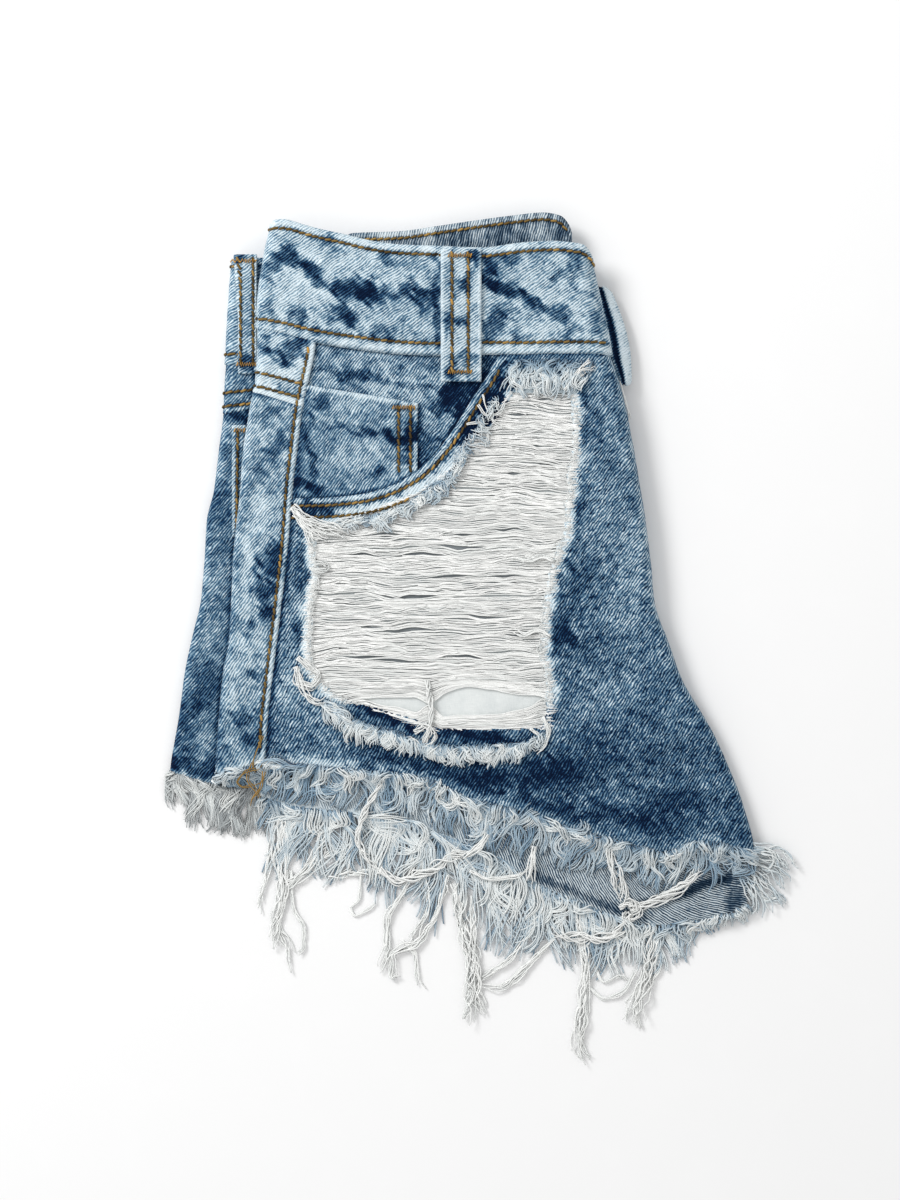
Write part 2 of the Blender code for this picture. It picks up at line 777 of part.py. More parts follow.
def build_back():
    """The right back and its yoke, rolled round the upper side fold."""
    seam = lambda y: side_seam(y) - SEAM_GAP / 2
    shares = spread((0.27, 5), (1.0, 3))
    yoke_top = lambda x: waist_seam(x) - SEAM_GAP
    flat = between(upper_turned, seam, yoke_top, lambda x: yoke_edge(x) + SEAM_GAP / 2, shares, 4)
    cloth("right_yoke", upper, flat, 0.0, FELLED, material("denim_yoke", FADED))
    flat = between(upper_turned, seam, lambda x: yoke_edge(x) - SEAM_GAP / 2, upper_hem, shares, 15)
    cloth("right_back", upper, flat, 0.0, FELLED, material("denim_back", FADED))


def build_lower_half():
    """The strip of the left back that shows at the left, with its yoke, pocket and waistband."""
    hidden = lambda y: upper_fold(y) + FELLED + upper_roll(y) - 1.0
    shares = spread((0.3, 4), (1.0, 3))
    band_top = lambda x: LEFT_BAND_TOP
    band_end = lambda x: LEFT_BAND_SEAM + SEAM_GAP / 2
    flat = between(lower_turned, hidden, band_top, band_end, shares, 4)
    cloth("left_waistband", lower, flat, 0.0, LEFT_BAND, material("denim_band", BLEACHED))
    yoke_top = lambda x: LEFT_BAND_SEAM - SEAM_GAP / 2
    flat = between(lower_turned, hidden, yoke_top, lambda x: left_yoke_edge(x) + SEAM_GAP / 2, shares, 3)
    cloth("left_yoke", lower, flat, 0.0, LEFT_YOKE, material("denim_yoke", FADED))
    flat = between(lower_turned, hidden, lambda x: left_yoke_edge(x) - SEAM_GAP / 2, lower_hem, shares, 14)
    cloth("left_back", lower, flat, 0.0, DENIM, material("denim_back", FADED))
    flat = between(
        lambda y: LEFT_POCKET["left"] + 0 * y, lambda y: upper_fold(y) - 0.4,
        lambda x: LEFT_POCKET["top"], lambda x: LEFT_POCKET["bottom"], spread((1.0, 2)), 6,
    )
    cloth("left_back_pocket", lower, flat, DENIM + SEAM_GAP, 1.0, material("denim_back", FADED))


def build_waistband():
    """The waistband of the upper half, and the inside of the back one above it."""
    shares = spread((0.10, 4), (0.94, 14), (1.0, 3))
    flat = between(upper_turned, front_end, waist_top, waist_seam, shares, 5)
    cloth("waistband", upper, flat, -BAND_SINK, BAND, material("denim_band", BLEACHED))
    flat = between(
        lambda y: INSIDE_ENDS[0] + 0 * y, lambda y: INSIDE_ENDS[1] + 0 * y,
        inside_top, lambda x: waist_top(x) - INSIDE_HIDDEN, spread((1.0, 11)), 2,
    )
    cloth("waistband_inside", lower, flat, 0.6, BAND, material("denim_inside", INNER_FACE))


def build_back_hem():
    """The inner face of the right back, which shows below the front hem."""
    flat = between(
        lambda y: BACK_HEM_ENDS[0] + 0 * y, lambda y: BACK_HEM_ENDS[1] + 0 * y,
        lambda x: upper_hem(x) + BACK_HEM_HIDDEN, inner_hem, spread((1.0, 25)), 4,
    )
    cloth("right_back_hem", lower, flat, 0.0, DENIM, material("denim_inside", INNER_FACE))


def build_loops():
    """The three belt loops: one on the front, one on the side fold and one at the centre back."""
    finish = material("denim_band", BLEACHED)
    for name, place, loop, lifts in (
        ("belt_loop_front", upper, FRONT_LOOP, FRONT_LOOP_LIFT),
        ("belt_loop_side", lower, SIDE_LOOP, SIDE_LOOP_LIFT),
    ):
        x = np.linspace(loop["left"], loop["right"], 6)[None, :]
        share = np.array([row[0] for row in lifts])[:, None]
        lift = np.array([row[1] for row in lifts])[:, None]
        y = loop["top"] + (loop["bottom"] - loop["top"]) * share
        sheet(name, place(x, y, lift + LOOP / 2), LOOP, finish)

    outer = smooth(BACK_LOOP, 1)
    y = np.linspace(BACK_LOOP[0][0], BACK_LOOP[-1][0], 7)[:, None]
    inner = front_edge(y) + 0.5
    u = np.array([[0.0, 0.5, 1.0]])
    level = BACK_LOOP_LEVEL - BACK_LOOP_DROP * u * u
    points = np.stack(np.broadcast_arrays(inner + (outer(y) - inner) * u, y, level), axis=-1)
    sheet("belt_loop_back", points, LOOP, finish)


def build_layers():
    """The hidden layers: one rounded solid with a flat underside, layered at its edges.

    Rings of points run round the stack and climb it: the lower half's rim, a ledge, the upper half's rim.
    """
    columns, rows = 22, 20
    u = np.linspace(0, 1, columns + 1)
    v = np.linspace(0, 1, rows + 1)

    def outline(top, bottom, left, right):
        """A closed ring of points round four edge lines."""
        return np.concatenate((top(u)[:-1], right(v)[:-1], bottom(u[::-1])[:-1], left(v[::-1])[:-1]))

    def side(x, top_edge, edge, y0, y1):
        """One side of a ring: from the top edge at x, then down an edge that is a function of y."""
        return path([(x, float(top_edge(x)))] + [(float(edge(y)), y) for y in np.linspace(y0, y1, 40)])

    def lower_top(x):
        """The top edge of the lower half, under both waistbands."""
        under_inside = (x > INSIDE_ENDS[0] + 2.0) & (x < INSIDE_ENDS[1])
        under_band = np.interp(x, LEFT_CORNER, (0.0, 1.0))
        band_top = (LEFT_BAND_TOP - 2.0) * (1 - under_band) + (waist_top(x) - 3.0) * under_band
        return np.maximum(band_top, np.where(under_inside, inside_top(x) - 2.5, 0))

    base_hem = lambda x: lower_hem(x) + 0.5
    lower_left = lambda y: lower_fold(y) + DENIM + lower_roll(y) + 0.6
    lower_right = lambda y: front_edge(y) - 0.6
    top_left, top_right = BASE_TOP
    hem_left, hem_right = BASE_HEM
    base = outline(
        across(lower_top, top_left, top_right, 60),
        across(base_hem, hem_left, hem_right, 60),
        side(top_left, lower_top, lower_left, 176.0, float(base_hem(hem_left))),
        side(top_right, lower_top, lower_right, 176.0, float(base_hem(hem_right))),
    )
    beside_band = lambda y: np.clip((y - 128.0) / 6.0, 0, 1)
    upper_left = lambda y: upper_fold(y) + FELLED + upper_roll(y) + 0.5 + 0.6 * beside_band(y)
    upper_right = lambda y: front_edge(y) - DENIM - 0.7 - 1.1 * beside_band(y)
    cap_hem = lambda x: upper_hem(x) + BACK_HEM_HIDDEN + 2.1
    cap_top = lambda x: waist_top(x) - INSIDE_HIDDEN - 1.5
    cap_left, cap_right = CAP_TOP
    corner = float(cap_hem(CAP_HEM_RIGHT))
    hem_start = float(upper_left(-48.0))
    hem_points = [(x, float(cap_hem(x))) for x in np.linspace(-110.0, CAP_HEM_RIGHT, 60)]
    cap = outline(
        across(cap_top, cap_left, cap_right, 60),
        path([(hem_start, float(cap_hem(hem_start)))] + hem_points),
        side(cap_left, cap_top, upper_left, 184.0, float(cap_hem(hem_start))),
        side(cap_right, cap_top, upper_right, 168.0, corner),
    )

    at_right = np.concatenate((np.zeros(columns), np.ones(rows), np.zeros(columns), np.zeros(rows)))
    right_side = at_right * np.clip((base[:, 1] + 90.0) / 16.0, 0, 1)

    def ledge(ring):
        """The level of the lower half's cloth, or of the stack's middle at the centre front."""
        low = lower_level(ring[:, 1]) - SEAM_GAP
        return low + right_side * (middle_level(ring[:, 1]) - low - SEAM_GAP)

    rings = [np.column_stack([drawn_in(base, 0.8 + RIM_ROUND * right_side), np.zeros(len(base))])]
    for inset, share in RIM:
        round_in = right_side * RIM_ROUND * (1 - math.sin(min(share * 1.5, 1) * math.pi / 2))
        rings.append(np.column_stack([drawn_in(base, inset + round_in), ledge(base) * share]))
    shelf = ledge(cap)
    rings.append(np.column_stack([cap, shelf]))
    under_front = upper_level(cap[:, 1]) - POCKET_DEPTH - SEAM_GAP
    roll = right_side * (front_roll(cap[:, 1]) - 0.4) + (1 - right_side) * 0.8
    for turn in np.radians((30, 60, 90)):
        ring = drawn_in(cap, roll * (1 - math.cos(turn)))
        rings.append(np.column_stack([ring, shelf + (under_front - shelf) * math.sin(turn)]))

    mesh_data = bmesh.new()
    loops = [[mesh_data.verts.new(point * MM) for point in ring] for ring in rings]
    count = len(base)
    for low, high in zip(loops, loops[1:]):
        for i in range(count):
            k = (i + 1) % count
            mesh_data.faces.new((low[i], low[k], high[k], high[i]))
    mesh_data.faces.new(loops[0])

    closed = np.concatenate((rings[-1], rings[-1][:1]))[:, :2]
    corners = [0, columns, columns + rows, 2 * columns + rows, count]
    top, right, bottom, left = [closed[start:end + 1] for start, end in zip(corners, corners[1:])]
    flat = patch(by_step(top), by_step(bottom[::-1]), by_step(left[::-1]), by_step(right), columns, rows)
    level = upper(flat[..., 0], flat[..., 1], -POCKET_DEPTH - SEAM_GAP)[..., 2]
    grid = {}
    for i in range(1, rows):
        for j in range(1, columns):
            grid[i, j] = mesh_data.verts.new(np.array([*flat[i, j], level[i, j]]) * MM)
    for j in range(columns + 1):
        grid[0, j] = loops[-1][j]
        grid[rows, j] = loops[-1][2 * columns + rows - j]
    for i in range(rows + 1):
        grid[i, columns] = loops[-1][columns + i]
        grid[i, 0] = loops[-1][(count - i) % count]
    for i in range(rows):
        for j in range(columns):
            mesh_data.faces.new((grid[i, j], grid[i, j + 1], grid[i + 1, j + 1], grid[i + 1, j]))
    bmesh.ops.recalc_face_normals(mesh_data, faces=mesh_data.faces)
    add_object("folded_layers", mesh_data, material("denim_layers", FADED))


def build_hem_fringe(name, place, hem, reach, ends, spacing, slant, tip_level, bundles, steps=3, turn=0):
    """A hem's frayed edge, its locks long and short in turn, with its long thread bundles."""
    line = across(lambda x: hem(x) - HEM_GAP, *ends, 80)
    reach_at = smooth(reach, 1)
    length = line_length(line)
    count = int(length // spacing)
    roots = [line((k + 0.5) / count) for k in range(count)]

    def heading(t):
        """Straight down the leg, turning out to the corner at the end of the line."""
        out = turn * np.clip((np.asarray(t) - 0.85) / 0.15, 0, 1)
        return np.stack([out, -1 + 0 * out], axis=-1) / np.sqrt(1 + out * out)[..., None]

    far = {}
    for x, tip_x, tip_y in bundles:
        nearest = min(range(count), key=lambda k: abs(roots[k][0] - x))
        far[nearest] = (tip_x, tip_y)
    strands = []
    for k, root in enumerate(roots):
        hang = float(reach_at(root[0])) * (0.86 + 0.14 * math.cos(k * 2.4))
        aside = slant * hang + 1.1 * math.sin(k * 1.3)
        tip_x, tip_y = far.get(k, (root[0] + aside, root[1] - hang))
        strands.append(((k + 0.5) / count, LOCK_SHARE * spacing / length, (tip_x, tip_y, tip_level(tip_y))))
    comb(name, place, line, heading, strands, 0.1, 1.0, material("frayed_thread", PALE_THREAD), steps=steps)


def build_rip_fray(name, rows, spacing):
    """A frayed edge of the rip, lying on the front."""
    line = path([(x, y) for x, y, reach in rows])
    reach = smooth([(x, reach) for x, y, reach in rows], 1)
    length = line_length(line)
    count = int(length // spacing)
    heading = lambda t: np.stack([0 * t, -1 + 0 * t], axis=-1)
    strands = []
    for k in range(count):
        share = (k + 0.5) / count
        root = line(share)
        hang = float(reach(root[0])) * (0.88 + 0.12 * math.cos(k * 2.1))
        tip = upper(root[0] + 0.12 * hang, root[1] - hang, DENIM + 1.3)
        strands.append((share, LOCK_SHARE * spacing / length, tuple(tip)))
    finish = material("frayed_thread", PALE_THREAD)
    comb(name, upper, line, heading, strands, DENIM + 2 * SEAM_GAP, 0.8, finish, depth=1.8, steps=2)


def build_fringes():
    """The frayed hems and the frayed edges of the rip."""
    over_inner = lambda y: max(float(lower_level(y)) + DENIM + 1.1, 3.4)
    near_floor = lambda y: TIP_LEVEL
    build_hem_fringe(
        "fringe_upper_hem", upper, upper_hem, UPPER_REACH, (-121.5, 131.0), 7.0, 0.18, over_inner,
        CORNER_TUFT, steps=2, turn=0.9,
    )
    build_hem_fringe(
        "fringe_lower_hem", lower, inner_hem, INNER_REACH, (-103.0, 127.0), 6.8, 0.09, near_floor, BUNDLES,
    )
    build_hem_fringe(
        "fringe_left_hem", lower, lower_hem, LOWER_REACH, (-146.0, -106.0), 5.6, 0.05, near_floor, LEFT_TUFT,
    )
    build_rip_fray("rip_fray_bottom", RIP_FRAY_BOTTOM, 5.4)
    build_rip_fray("rip_fray_top", RIP_FRAY_TOP, 4.8)


def main():
    """Clear the scene and build every piece."""
    for thing in list(bpy.data.objects):
        bpy.data.objects.remove(thing, do_unlink=True)
    for name in (NAME, "cutters"):
        bpy.context.scene.collection.children.link(bpy.data.collections.new(name))
    build_layers()
    build_lower_half()
    build_back_hem()
    build_back()
    build_pocket()
    build_front()
    build_waistband()
    build_loops()
    build_fringes()


main()
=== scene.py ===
"""Looks of the cut-off denim shorts, folded in half along the centre front and lying flat.

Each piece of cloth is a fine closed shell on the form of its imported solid, and the frayed edges are single
threads. X runs across the waistband, Y up the garment towards the waistband, Z up. Tables are in millimetres.
"""
import math

import bmesh
import bpy
import numpy as np
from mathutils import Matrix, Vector


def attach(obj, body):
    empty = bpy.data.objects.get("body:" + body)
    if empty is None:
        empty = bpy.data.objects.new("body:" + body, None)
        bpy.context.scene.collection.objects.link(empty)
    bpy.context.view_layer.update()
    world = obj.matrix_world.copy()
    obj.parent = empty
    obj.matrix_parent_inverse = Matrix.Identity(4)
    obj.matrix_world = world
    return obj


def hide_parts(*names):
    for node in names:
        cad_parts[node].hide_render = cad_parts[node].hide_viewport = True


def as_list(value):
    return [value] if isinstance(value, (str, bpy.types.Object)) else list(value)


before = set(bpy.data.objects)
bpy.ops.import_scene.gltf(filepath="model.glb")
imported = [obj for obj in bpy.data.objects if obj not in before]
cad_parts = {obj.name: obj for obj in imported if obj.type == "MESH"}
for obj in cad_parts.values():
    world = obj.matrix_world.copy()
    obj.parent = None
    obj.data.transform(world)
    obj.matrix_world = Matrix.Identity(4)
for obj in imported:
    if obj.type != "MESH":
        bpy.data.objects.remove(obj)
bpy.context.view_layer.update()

MM = 0.001

# The lights' strengths, and the places of the light and the camera in metres.
WORLD_LIGHT = 0.76
KEY_LIGHT = 14.5
KEY_PLACE = (-0.9, 0.8, 0.95)
CAMERA = {"place": (-0.0138, 0.0195, 1.51), "lens": 94.5}

# Cloth sizes, in millimetres.
DENIM = 1.2            # one layer of denim
FELLED = 1.8           # denim with the allowance that is felled over its neighbour
BAND = 3.2             # waistband: two layers and the turned edges
BAND_SINK = 0.9        # how far the waistband's inner face lies below the panels' inner faces
POCKETING = 0.8        # cotton pocket bag
LOOP = 1.3             # belt loop, folded in three and pressed
RIM_BULGE = 0.4        # how far a cloth's rim is rounded out, as a share of its thickness
SEAM_GAP = 0.3         # clearance between neighbouring pieces
POCKET_DEPTH = 1.5     # how far the facing and bag lie below the front
LEFT_BAND = 2.4        # the left waistband's outer layers
LEFT_YOKE = 1.6        # the left yoke, with its felled seam
TUCK = 7.5             # how far the facing reaches below the pocket opening, under the front
INSIDE_HIDDEN = 10.5   # how far the waistband's inside reaches down behind the front waistband
BACK_HEM_HIDDEN = 9.5  # how far the inner back hem reaches up behind the front hem

EDGE_POINTS = 40       # points on the line of an edge

# How far round its roll the cloth is built at each edge, in degrees.
UPPER_TURN = 165
LOWER_TURN = 140
FRONT_TURN = 84

# The garment's width, row by row up the garment: where the lower half's fold, the upper half's fold,
# the side seam and the centre-front edge lie.
WIDTHS = [
    # y,     lower_fold, upper_fold, side_seam, front_edge
    (198.1, -114.8, -98.6, -70, 52.4),
    (181.4, -117.1, -102.1, -72.9, 53.3),
    (162.4, -118.6, -104.8, -75.2, 57.1),
    (148.1, -119.5, -105.2, -77.1, 60.5),
    (136.2, -120, -105.5, -78.6, 62.4),
    (124.3, -121, -106.2, -81.2, 66.7),
    (110, -122, -109.3, -84.3, 70),
    (91, -124.3, -112.1, -86.7, 73.8),
    (71.9, -126.7, -113.6, -89, 77.1),
    (57.6, -130.2, -115.2, -90, 79.3),
    (38.6, -131.2, -117.1, -91.7, 81.7),
    (19.5, -132.9, -117.9, -94, 83.6),
    (0.5, -137.6, -119.3, -96.4, 90),
    (-18.6, -141.2, -122.4, -98.8, 97.1),
    (-37.6, -143.8, -124, -101, 108.1),
    (-56.7, -147.1, -125.5, -102.1, 117.9),
    (-75.7, -149.5, -126.2, -102.9, 125.2),
    (-101.9, -151, -127.1, -103.3, 131.4),
    (-125.7, -151, -127.1, -103.3, 129.5),
]

# The stack's height, row by row: the lower half's cloth, the level between the halves, the upper half's.
HEIGHTS = [
    # y,     lower, middle, upper
    (198.1, 8.4, 11.4, 17.6),
    (136.2, 8, 11, 17.2),
    (110, 7.2, 10.2, 15.6),
    (57.6, 6.2, 9.2, 14),
    (0.5, 5, 7.6, 12.4),
    (-37.6, 4.2, 6.2, 10.6),
    (-62, 3.4, 5, 9),
    (-101.9, 2.9, 4.4, 8),
    (-135.7, 2.4, 3.9, 7),
]

# The waistband's edges, row by row across the garment.
WAIST = [
    # x,     top,  seam
    (-105.2, 197.6, 148.6),
    (-98.6, 198.1, 147.1),
    (-92.9, 198.6, 146.2),
    (-83.8, 196.2, 143.8),
    (-74.8, 193.8, 141.9),
    (-65.7, 191.9, 140.5),
    (-51.9, 188.6, 138.6),
    (-38.1, 186.7, 137.1),
    (-20, 186, 136.4),
    (1.4, 185.2, 136.9),
    (21.4, 187.6, 136.7),
    (35.2, 188.3, 137.1),
    (49, 186.7, 137.1),
    (53.3, 182.4, 137.1),
    (61.9, 171.9, 136.2),
]

# The top edge of the waistband's inside, where the right back shows above the front.
INSIDE = [
    # x,    top
    (-66.2, 189.5),
    (-60, 192.9),
    (-37.6, 193.8),
    (-19.5, 196.3),
    (-1.2, 199),
    (17.1, 201.4),
    (30.7, 202.7),
    (38.1, 201.4),
    (41.4, 198.1),
    (44.8, 188.6),
]

# The three cut hems, row by row across the garment.
HEMS = [
    # x,      upper,  inner,  lower
    (-148.1, -62.4, -63.8, -62.4),
    (-125.7, -62.4, -69, -68.6),
    (-101.9, -58.1, -74.8, -71),
    (-85.2, -58.6, -79.4, -75.7),
    (-56.7, -61.4, -82.4, -79.5),
    (-32.9, -63.3, -86.2, -83.3),
    (-20, -67.2, -91.9, -88.1),
    (-4.3, -75.2, -97.6, -93.8),
    (11, -78.6, -105.2, -100.5),
    (29, -83.3, -116.7, -110),
    (48.1, -90.9, -124.8, -117.6),
    (62.9, -93.8, -131, -123.3),
    (77.6, -98.1, -135.2, -127.1),
    (88.6, -100.5, -135.7, -128.1),
    (98.1, -97.3, -134.8, -127.1),
    (105.7, -95.1, -133.3, -125.7),
    (114.8, -96.2, -131.4, -123.3),
    (128.1, -100.5, -125.7, -118.6),
    (131.4, -101.9, -121, -113.8),
]

# The curved front pocket opening, from the side seam to the waist seam.
POCKET_OPENING = [
    # x,    y
    (-89, 67.4),
    (-74.8, 67.6),
    (-56.7, 69.2),
    (-42.9, 72.9),
    (-29, 80.5),
    (-19.5, 89.7),
    (-10.3, 102.5),
    (-3, 114.3),
    (2.4, 122.5),
    (8, 132),
]

# The rip in the right front, row by row down the leg.
RIP = [
    # y,    left,  right
    (117.6, 15.7, 42.4),
    (111.4, 11.4, 44.8),
    (103.3, 7.1, 44.8),
    (91, -7.6, 44.8),
    (78.6, -14.8, 42.4),
    (70, -29, 42.9),
    (63.3, -44.3, 41.4),
    (57.6, -63.8, 41.4),
    (51.9, -77.6, 41),
    (43.3, -78.6, 37.1),
    (32.9, -76.7, 34.3),
    (19.5, -79, 31.4),
    (5.2, -80, 30),
    (-5.2, -80.5, 29),
    (-14.8, -78.6, 31.9),
    (-25.7, -68.6, 32.4),
    (-32.9, -48.1, 32.4),
    (-38.6, -28.1, 31.4),
    (-42.4, -18.6, 29.5),
]

# The two open gaps between the threads that are left in the rip, row by row across.
GAPS = {
    "wedge": [
        # x,    top,   bottom
        (-52.9, -26.9, -28.1),
        (-40, -26.7, -31.2),
        (-27.1, -26.9, -35.2),
    ],
    "lens": [
        # x,    top,   bottom
        (-20, -26.7, -36.7),
        (-13.8, -23.8, -35.7),
        (-5.2, -21.7, -34.8),
        (7.6, -23.6, -35),
        (17.1, -26.2, -33.3),
        (28, -27.4, -30.7),
    ],
}

# The largest soft folds and dents of the cloth. Angle is the way a fold runs, from +X, in degrees.
FOLDS = [
    # x,    y,    angle, length, width, height
    (-104, 30, 62, 34, 14, 0.8),
    (-104, -20, 75, 30, 13, -0.7),
    (-40, -52, 10, 44, 14, 0.7),
    (56, 60, 75, 50, 15, 0.8),
    (66, -10, 40, 42, 15, -0.9),
    (62, -56, 20, 44, 15, 0.9),
    (92, -66, 55, 34, 14, -0.8),
    (12, -66, 160, 36, 14, -0.6),
    (-30, 165, 12, 44, 14, 0.8),
    (25, 160, -15, 30, 14, -0.8),
    (-60, 110, -40, 34, 16, 0.7),
]

# The frayed hems. Reach is how far the threads hang past the cloth's edge at each place.
UPPER_REACH = [
    # x,      reach
    (-124, 14),
    (-100, 23),
    (-80, 29),
    (-20, 28),
    (10, 26),
    (60, 22),
    (110, 22),
    (131, 22),
]
INNER_REACH = [
    # x,     reach
    (-100, 15),
    (-89, 32),
    (-55, 36),
    (-20, 46),
    (20, 42),
    (48, 30),
    (75, 27),
    (95, 16),
    (114, 6),
    (130, 8),
]
LOWER_REACH = [
    # x,      reach
    (-148, 15),
    (-135, 22),
    (-118, 27),
    (-106, 25),
]

# The three belt loops. Lift is how far a loop stands off the cloth below it, down its length.
FRONT_LOOP = {"left": -18.1, "right": 1, "top": 185, "bottom": 123.4}
SIDE_LOOP = {"left": -114.6, "right": -105.6, "top": 183.4, "bottom": 127.6}
FRONT_LOOP_LIFT = [
    # share, lift
    (0, 2.5),
    (0.2, 2.9),
    (0.5, 3.1),
    (0.74, 2.8),
    (0.82, 2.5),
    (0.9, 1.7),
    (1, 1.5),
]
SIDE_LOOP_LIFT = [
    # share, lift
    (0, 3),
    (0.3, 3.2),
    (0.6, 3.2),
    (0.86, 2.9),
    (0.94, 2.8),
    (1, 2.2),
]
BACK_LOOP = [
    # y,    outer
    (168.6, 61.9),
    (158.6, 66),
    (146.7, 69.8),
    (134, 71.9),
    (122.4, 72.2),
]
BACK_LOOP_LEVEL = 8.6
BACK_LOOP_DROP = 3.2

# The ends of the pieces' edges.
FRONT = {"waist_left": 11, "corner": 61.5, "hem_left": -102, "hem_right": 131}
BAG = {
    "top_left": (-84, 54.6),
    "peak": (17, 122),
    "top_right": (48, 124),
    "bottom_left": (-84, -50),
    "bottom_right": (50, -50),
}
FACING = {"left": -77.4, "right": 14, "bottom_left": (-88.4, 57.2), "bottom_right": (12.6, 122.5)}
INSIDE_ENDS = (-62, 43)
BACK_HEM_ENDS = (-104, 128)


COIN_POCKET_TOP = [
    # x,     y
    (-84.6, 121.4),
    (-29.5, 112.6),
]
YOKE_EDGE = [
    # x,     y
    (-106.3, 118.1),
    (-84, 111.2),
]
LEFT_YOKE_EDGE = [
    # x,     y
    (-120.5, 108.6),
    (-109.2, 110.5),
]
LEFT_BAND_TOP = 181.6
LEFT_BAND_SEAM = 132
LEFT_POCKET = {"left": -117.4, "top": 102.5, "bottom": 50}

# The frayed edges of the rip: where the threads are rooted and how far they reach.
RIP_FRAY_BOTTOM = [
    # x,    y,     reach
    (-74, -26.9, 14),
    (-63.8, -35, 11),
    (-49.5, -40.2, 9.5),
    (-37.6, -43.4, 9),
    (-25.7, -47.6, 9.5),
    (-12, -49.5, 10),
    (0.5, -49.5, 10),
    (19.5, -48.1, 10),
    (30, -43, 7),
]
RIP_FRAY_TOP = [
    # x,   y,     reach
    (13.5, 132.6, 15),
    (24, 133, 13),
    (38, 133.2, 12),
    (51, 132.6, 8),
]

def smooth(rows, column):
    """A smooth curve through one column of a table, against its first column, level past both ends."""
    table = sorted((row[0], row[column]) for row in rows)
    xs = np.array([row[0] for row in table])
    ys = np.array([row[1] for row in table])
    slopes = np.diff(ys) / np.diff(xs)
    product = slopes[:-1] * slopes[1:]
    total = np.where(product > 0, slopes[:-1] + slopes[1:], 1)
    inner = np.where(product > 0, 2 * product / total, 0)
    ends = np.concatenate(([slopes[0]], inner, [slopes[-1]]))

    def at(value):
        value = np.clip(value, xs[0], xs[-1])
        i = np.clip(np.searchsorted(xs, value, side="right") - 1, 0, len(xs) - 2)
        span = xs[i + 1] - xs[i]
        t = (value - xs[i]) / span
        return (
            (1 + 2 * t) * (1 - t) ** 2 * ys[i]
            + t * (1 - t) ** 2 * span * ends[i]
            + t * t * (3 - 2 * t) * ys[i + 1]
            + t * t * (t - 1) * span * ends[i + 1]
        )

    return at


lower_fold, upper_fold, side_seam, front_edge = (smooth(WIDTHS, column) for column in (1, 2, 3, 4))
lower_level, middle_level, upper_level = (smooth(HEIGHTS, column) for column in (1, 2, 3))
waist_top, waist_seam = (smooth(WAIST, column) for column in (1, 2))
inside_top = smooth(INSIDE, 1)
upper_hem, inner_hem, lower_hem = (smooth(HEMS, column) for column in (1, 2, 3))
pocket_edge = smooth(POCKET_OPENING, 1)
yoke_edge = smooth(YOKE_EDGE, 1)
left_yoke_edge = smooth(LEFT_YOKE_EDGE, 1)


def bell(distance, width):
    """A soft bump, 1 at distance 0, that fades over a width."""
    return np.exp(-(distance / width) ** 2)


def turned(x, y, at_x, at_y, angle):
    """Distances along and across a line that runs at an angle, in degrees, through a place."""
    turn = math.radians(angle)
    return (
        (x - at_x) * math.cos(turn) + (y - at_y) * math.sin(turn),
        (y - at_y) * math.cos(turn) - (x - at_x) * math.sin(turn),
    )


def folds(x, y):
    """Height of the soft folds at a place on the upper half."""
    total = np.zeros(np.broadcast(x, y).shape)
    for *place, length, width, height in FOLDS:
        along, aside = turned(x, y, *place)
        total = total + height * bell(along, length) * bell(aside, width)
    return total


def rolled(x, d, level, left, left_roll, right, right_roll):
    """Carry a point x along the cloth and d out of it, over the roll at either edge of a folded half."""
    left_centre = left + left_roll
    right_centre = right - right_roll
    left_turn = np.maximum(left_centre - x, 0) / left_roll
    right_turn = np.maximum(x - right_centre, 0) / right_roll
    flat_x = np.clip(x, left_centre, right_centre)
    turn = left_turn + right_turn
    roll = np.where(left_turn > 0, left_roll, right_roll)
    side = np.where(left_turn > 0, -1, 1)
    out_x = flat_x + side * (roll + d) * np.sin(turn)
    out_z = level - roll + (roll + d) * np.cos(turn)
    return out_x, np.where(turn > 0, out_z, level + d)


def upper_roll(y):
    """Inner radius of the upper half's side fold, so that the doubled cloth fills its height."""
    return np.maximum((upper_level(y) - FELLED - middle_level(y)) / 2, 0.8)


def front_roll(y):
    """Inner radius of the roll at the centre front, from the top down to the middle of the stack."""
    return upper_level(y) - middle_level(y)


def upper(x, y, d):
    """A point on the upper half's cloth: x and y along it, d out of it."""
    x, y, d = (np.asarray(value, float) for value in np.broadcast_arrays(x, y, d))
    left = upper_fold(y) + FELLED
    right = front_edge(y) - DENIM
    inside = np.clip(x, left + 4, right - 4)
    fade = np.clip(np.minimum(x - left, right - x) / 14, 0, 1)
    level = upper_level(y) + folds(inside, y) * fade * fade * (3 - 2 * fade)
    out_x, out_z = rolled(x, d, level, left, upper_roll(y), right, front_roll(y))
    return np.stack([out_x, y, out_z], axis=-1)


def lower_roll(y):
    """Inner radius of the lower half's side fold, which ends just clear of the surface."""
    return np.maximum((lower_level(y) - DENIM - 0.4) / 2, 0.7)


def lower(x, y, d):
    """A point on the lower half's cloth: x and y along it, d out of it."""
    x, y, d = (np.asarray(value, float) for value in np.broadcast_arrays(x, y, d))
    left = lower_fold(y) + DENIM
    out_x, out_z = rolled(x, d, lower_level(y), left, lower_roll(y), front_edge(y) + 40, 4)
    return np.stack([out_x, y, out_z], axis=-1)


def path(points):
    """A line through points, as a function of the share of its length."""
    points = np.asarray(points, float)
    steps = np.hypot(*np.diff(points, axis=0).T)
    at = np.concatenate(([0], np.cumsum(steps))) / steps.sum()
    return lambda t: np.stack([np.interp(t, at, points[:, 0]), np.interp(t, at, points[:, 1])], axis=-1)


def across(edge, x0, x1):
    """The line of an edge that is a function of x."""
    xs = np.linspace(x0, x1, EDGE_POINTS)
    return path(np.stack([xs, edge(xs)], axis=-1))


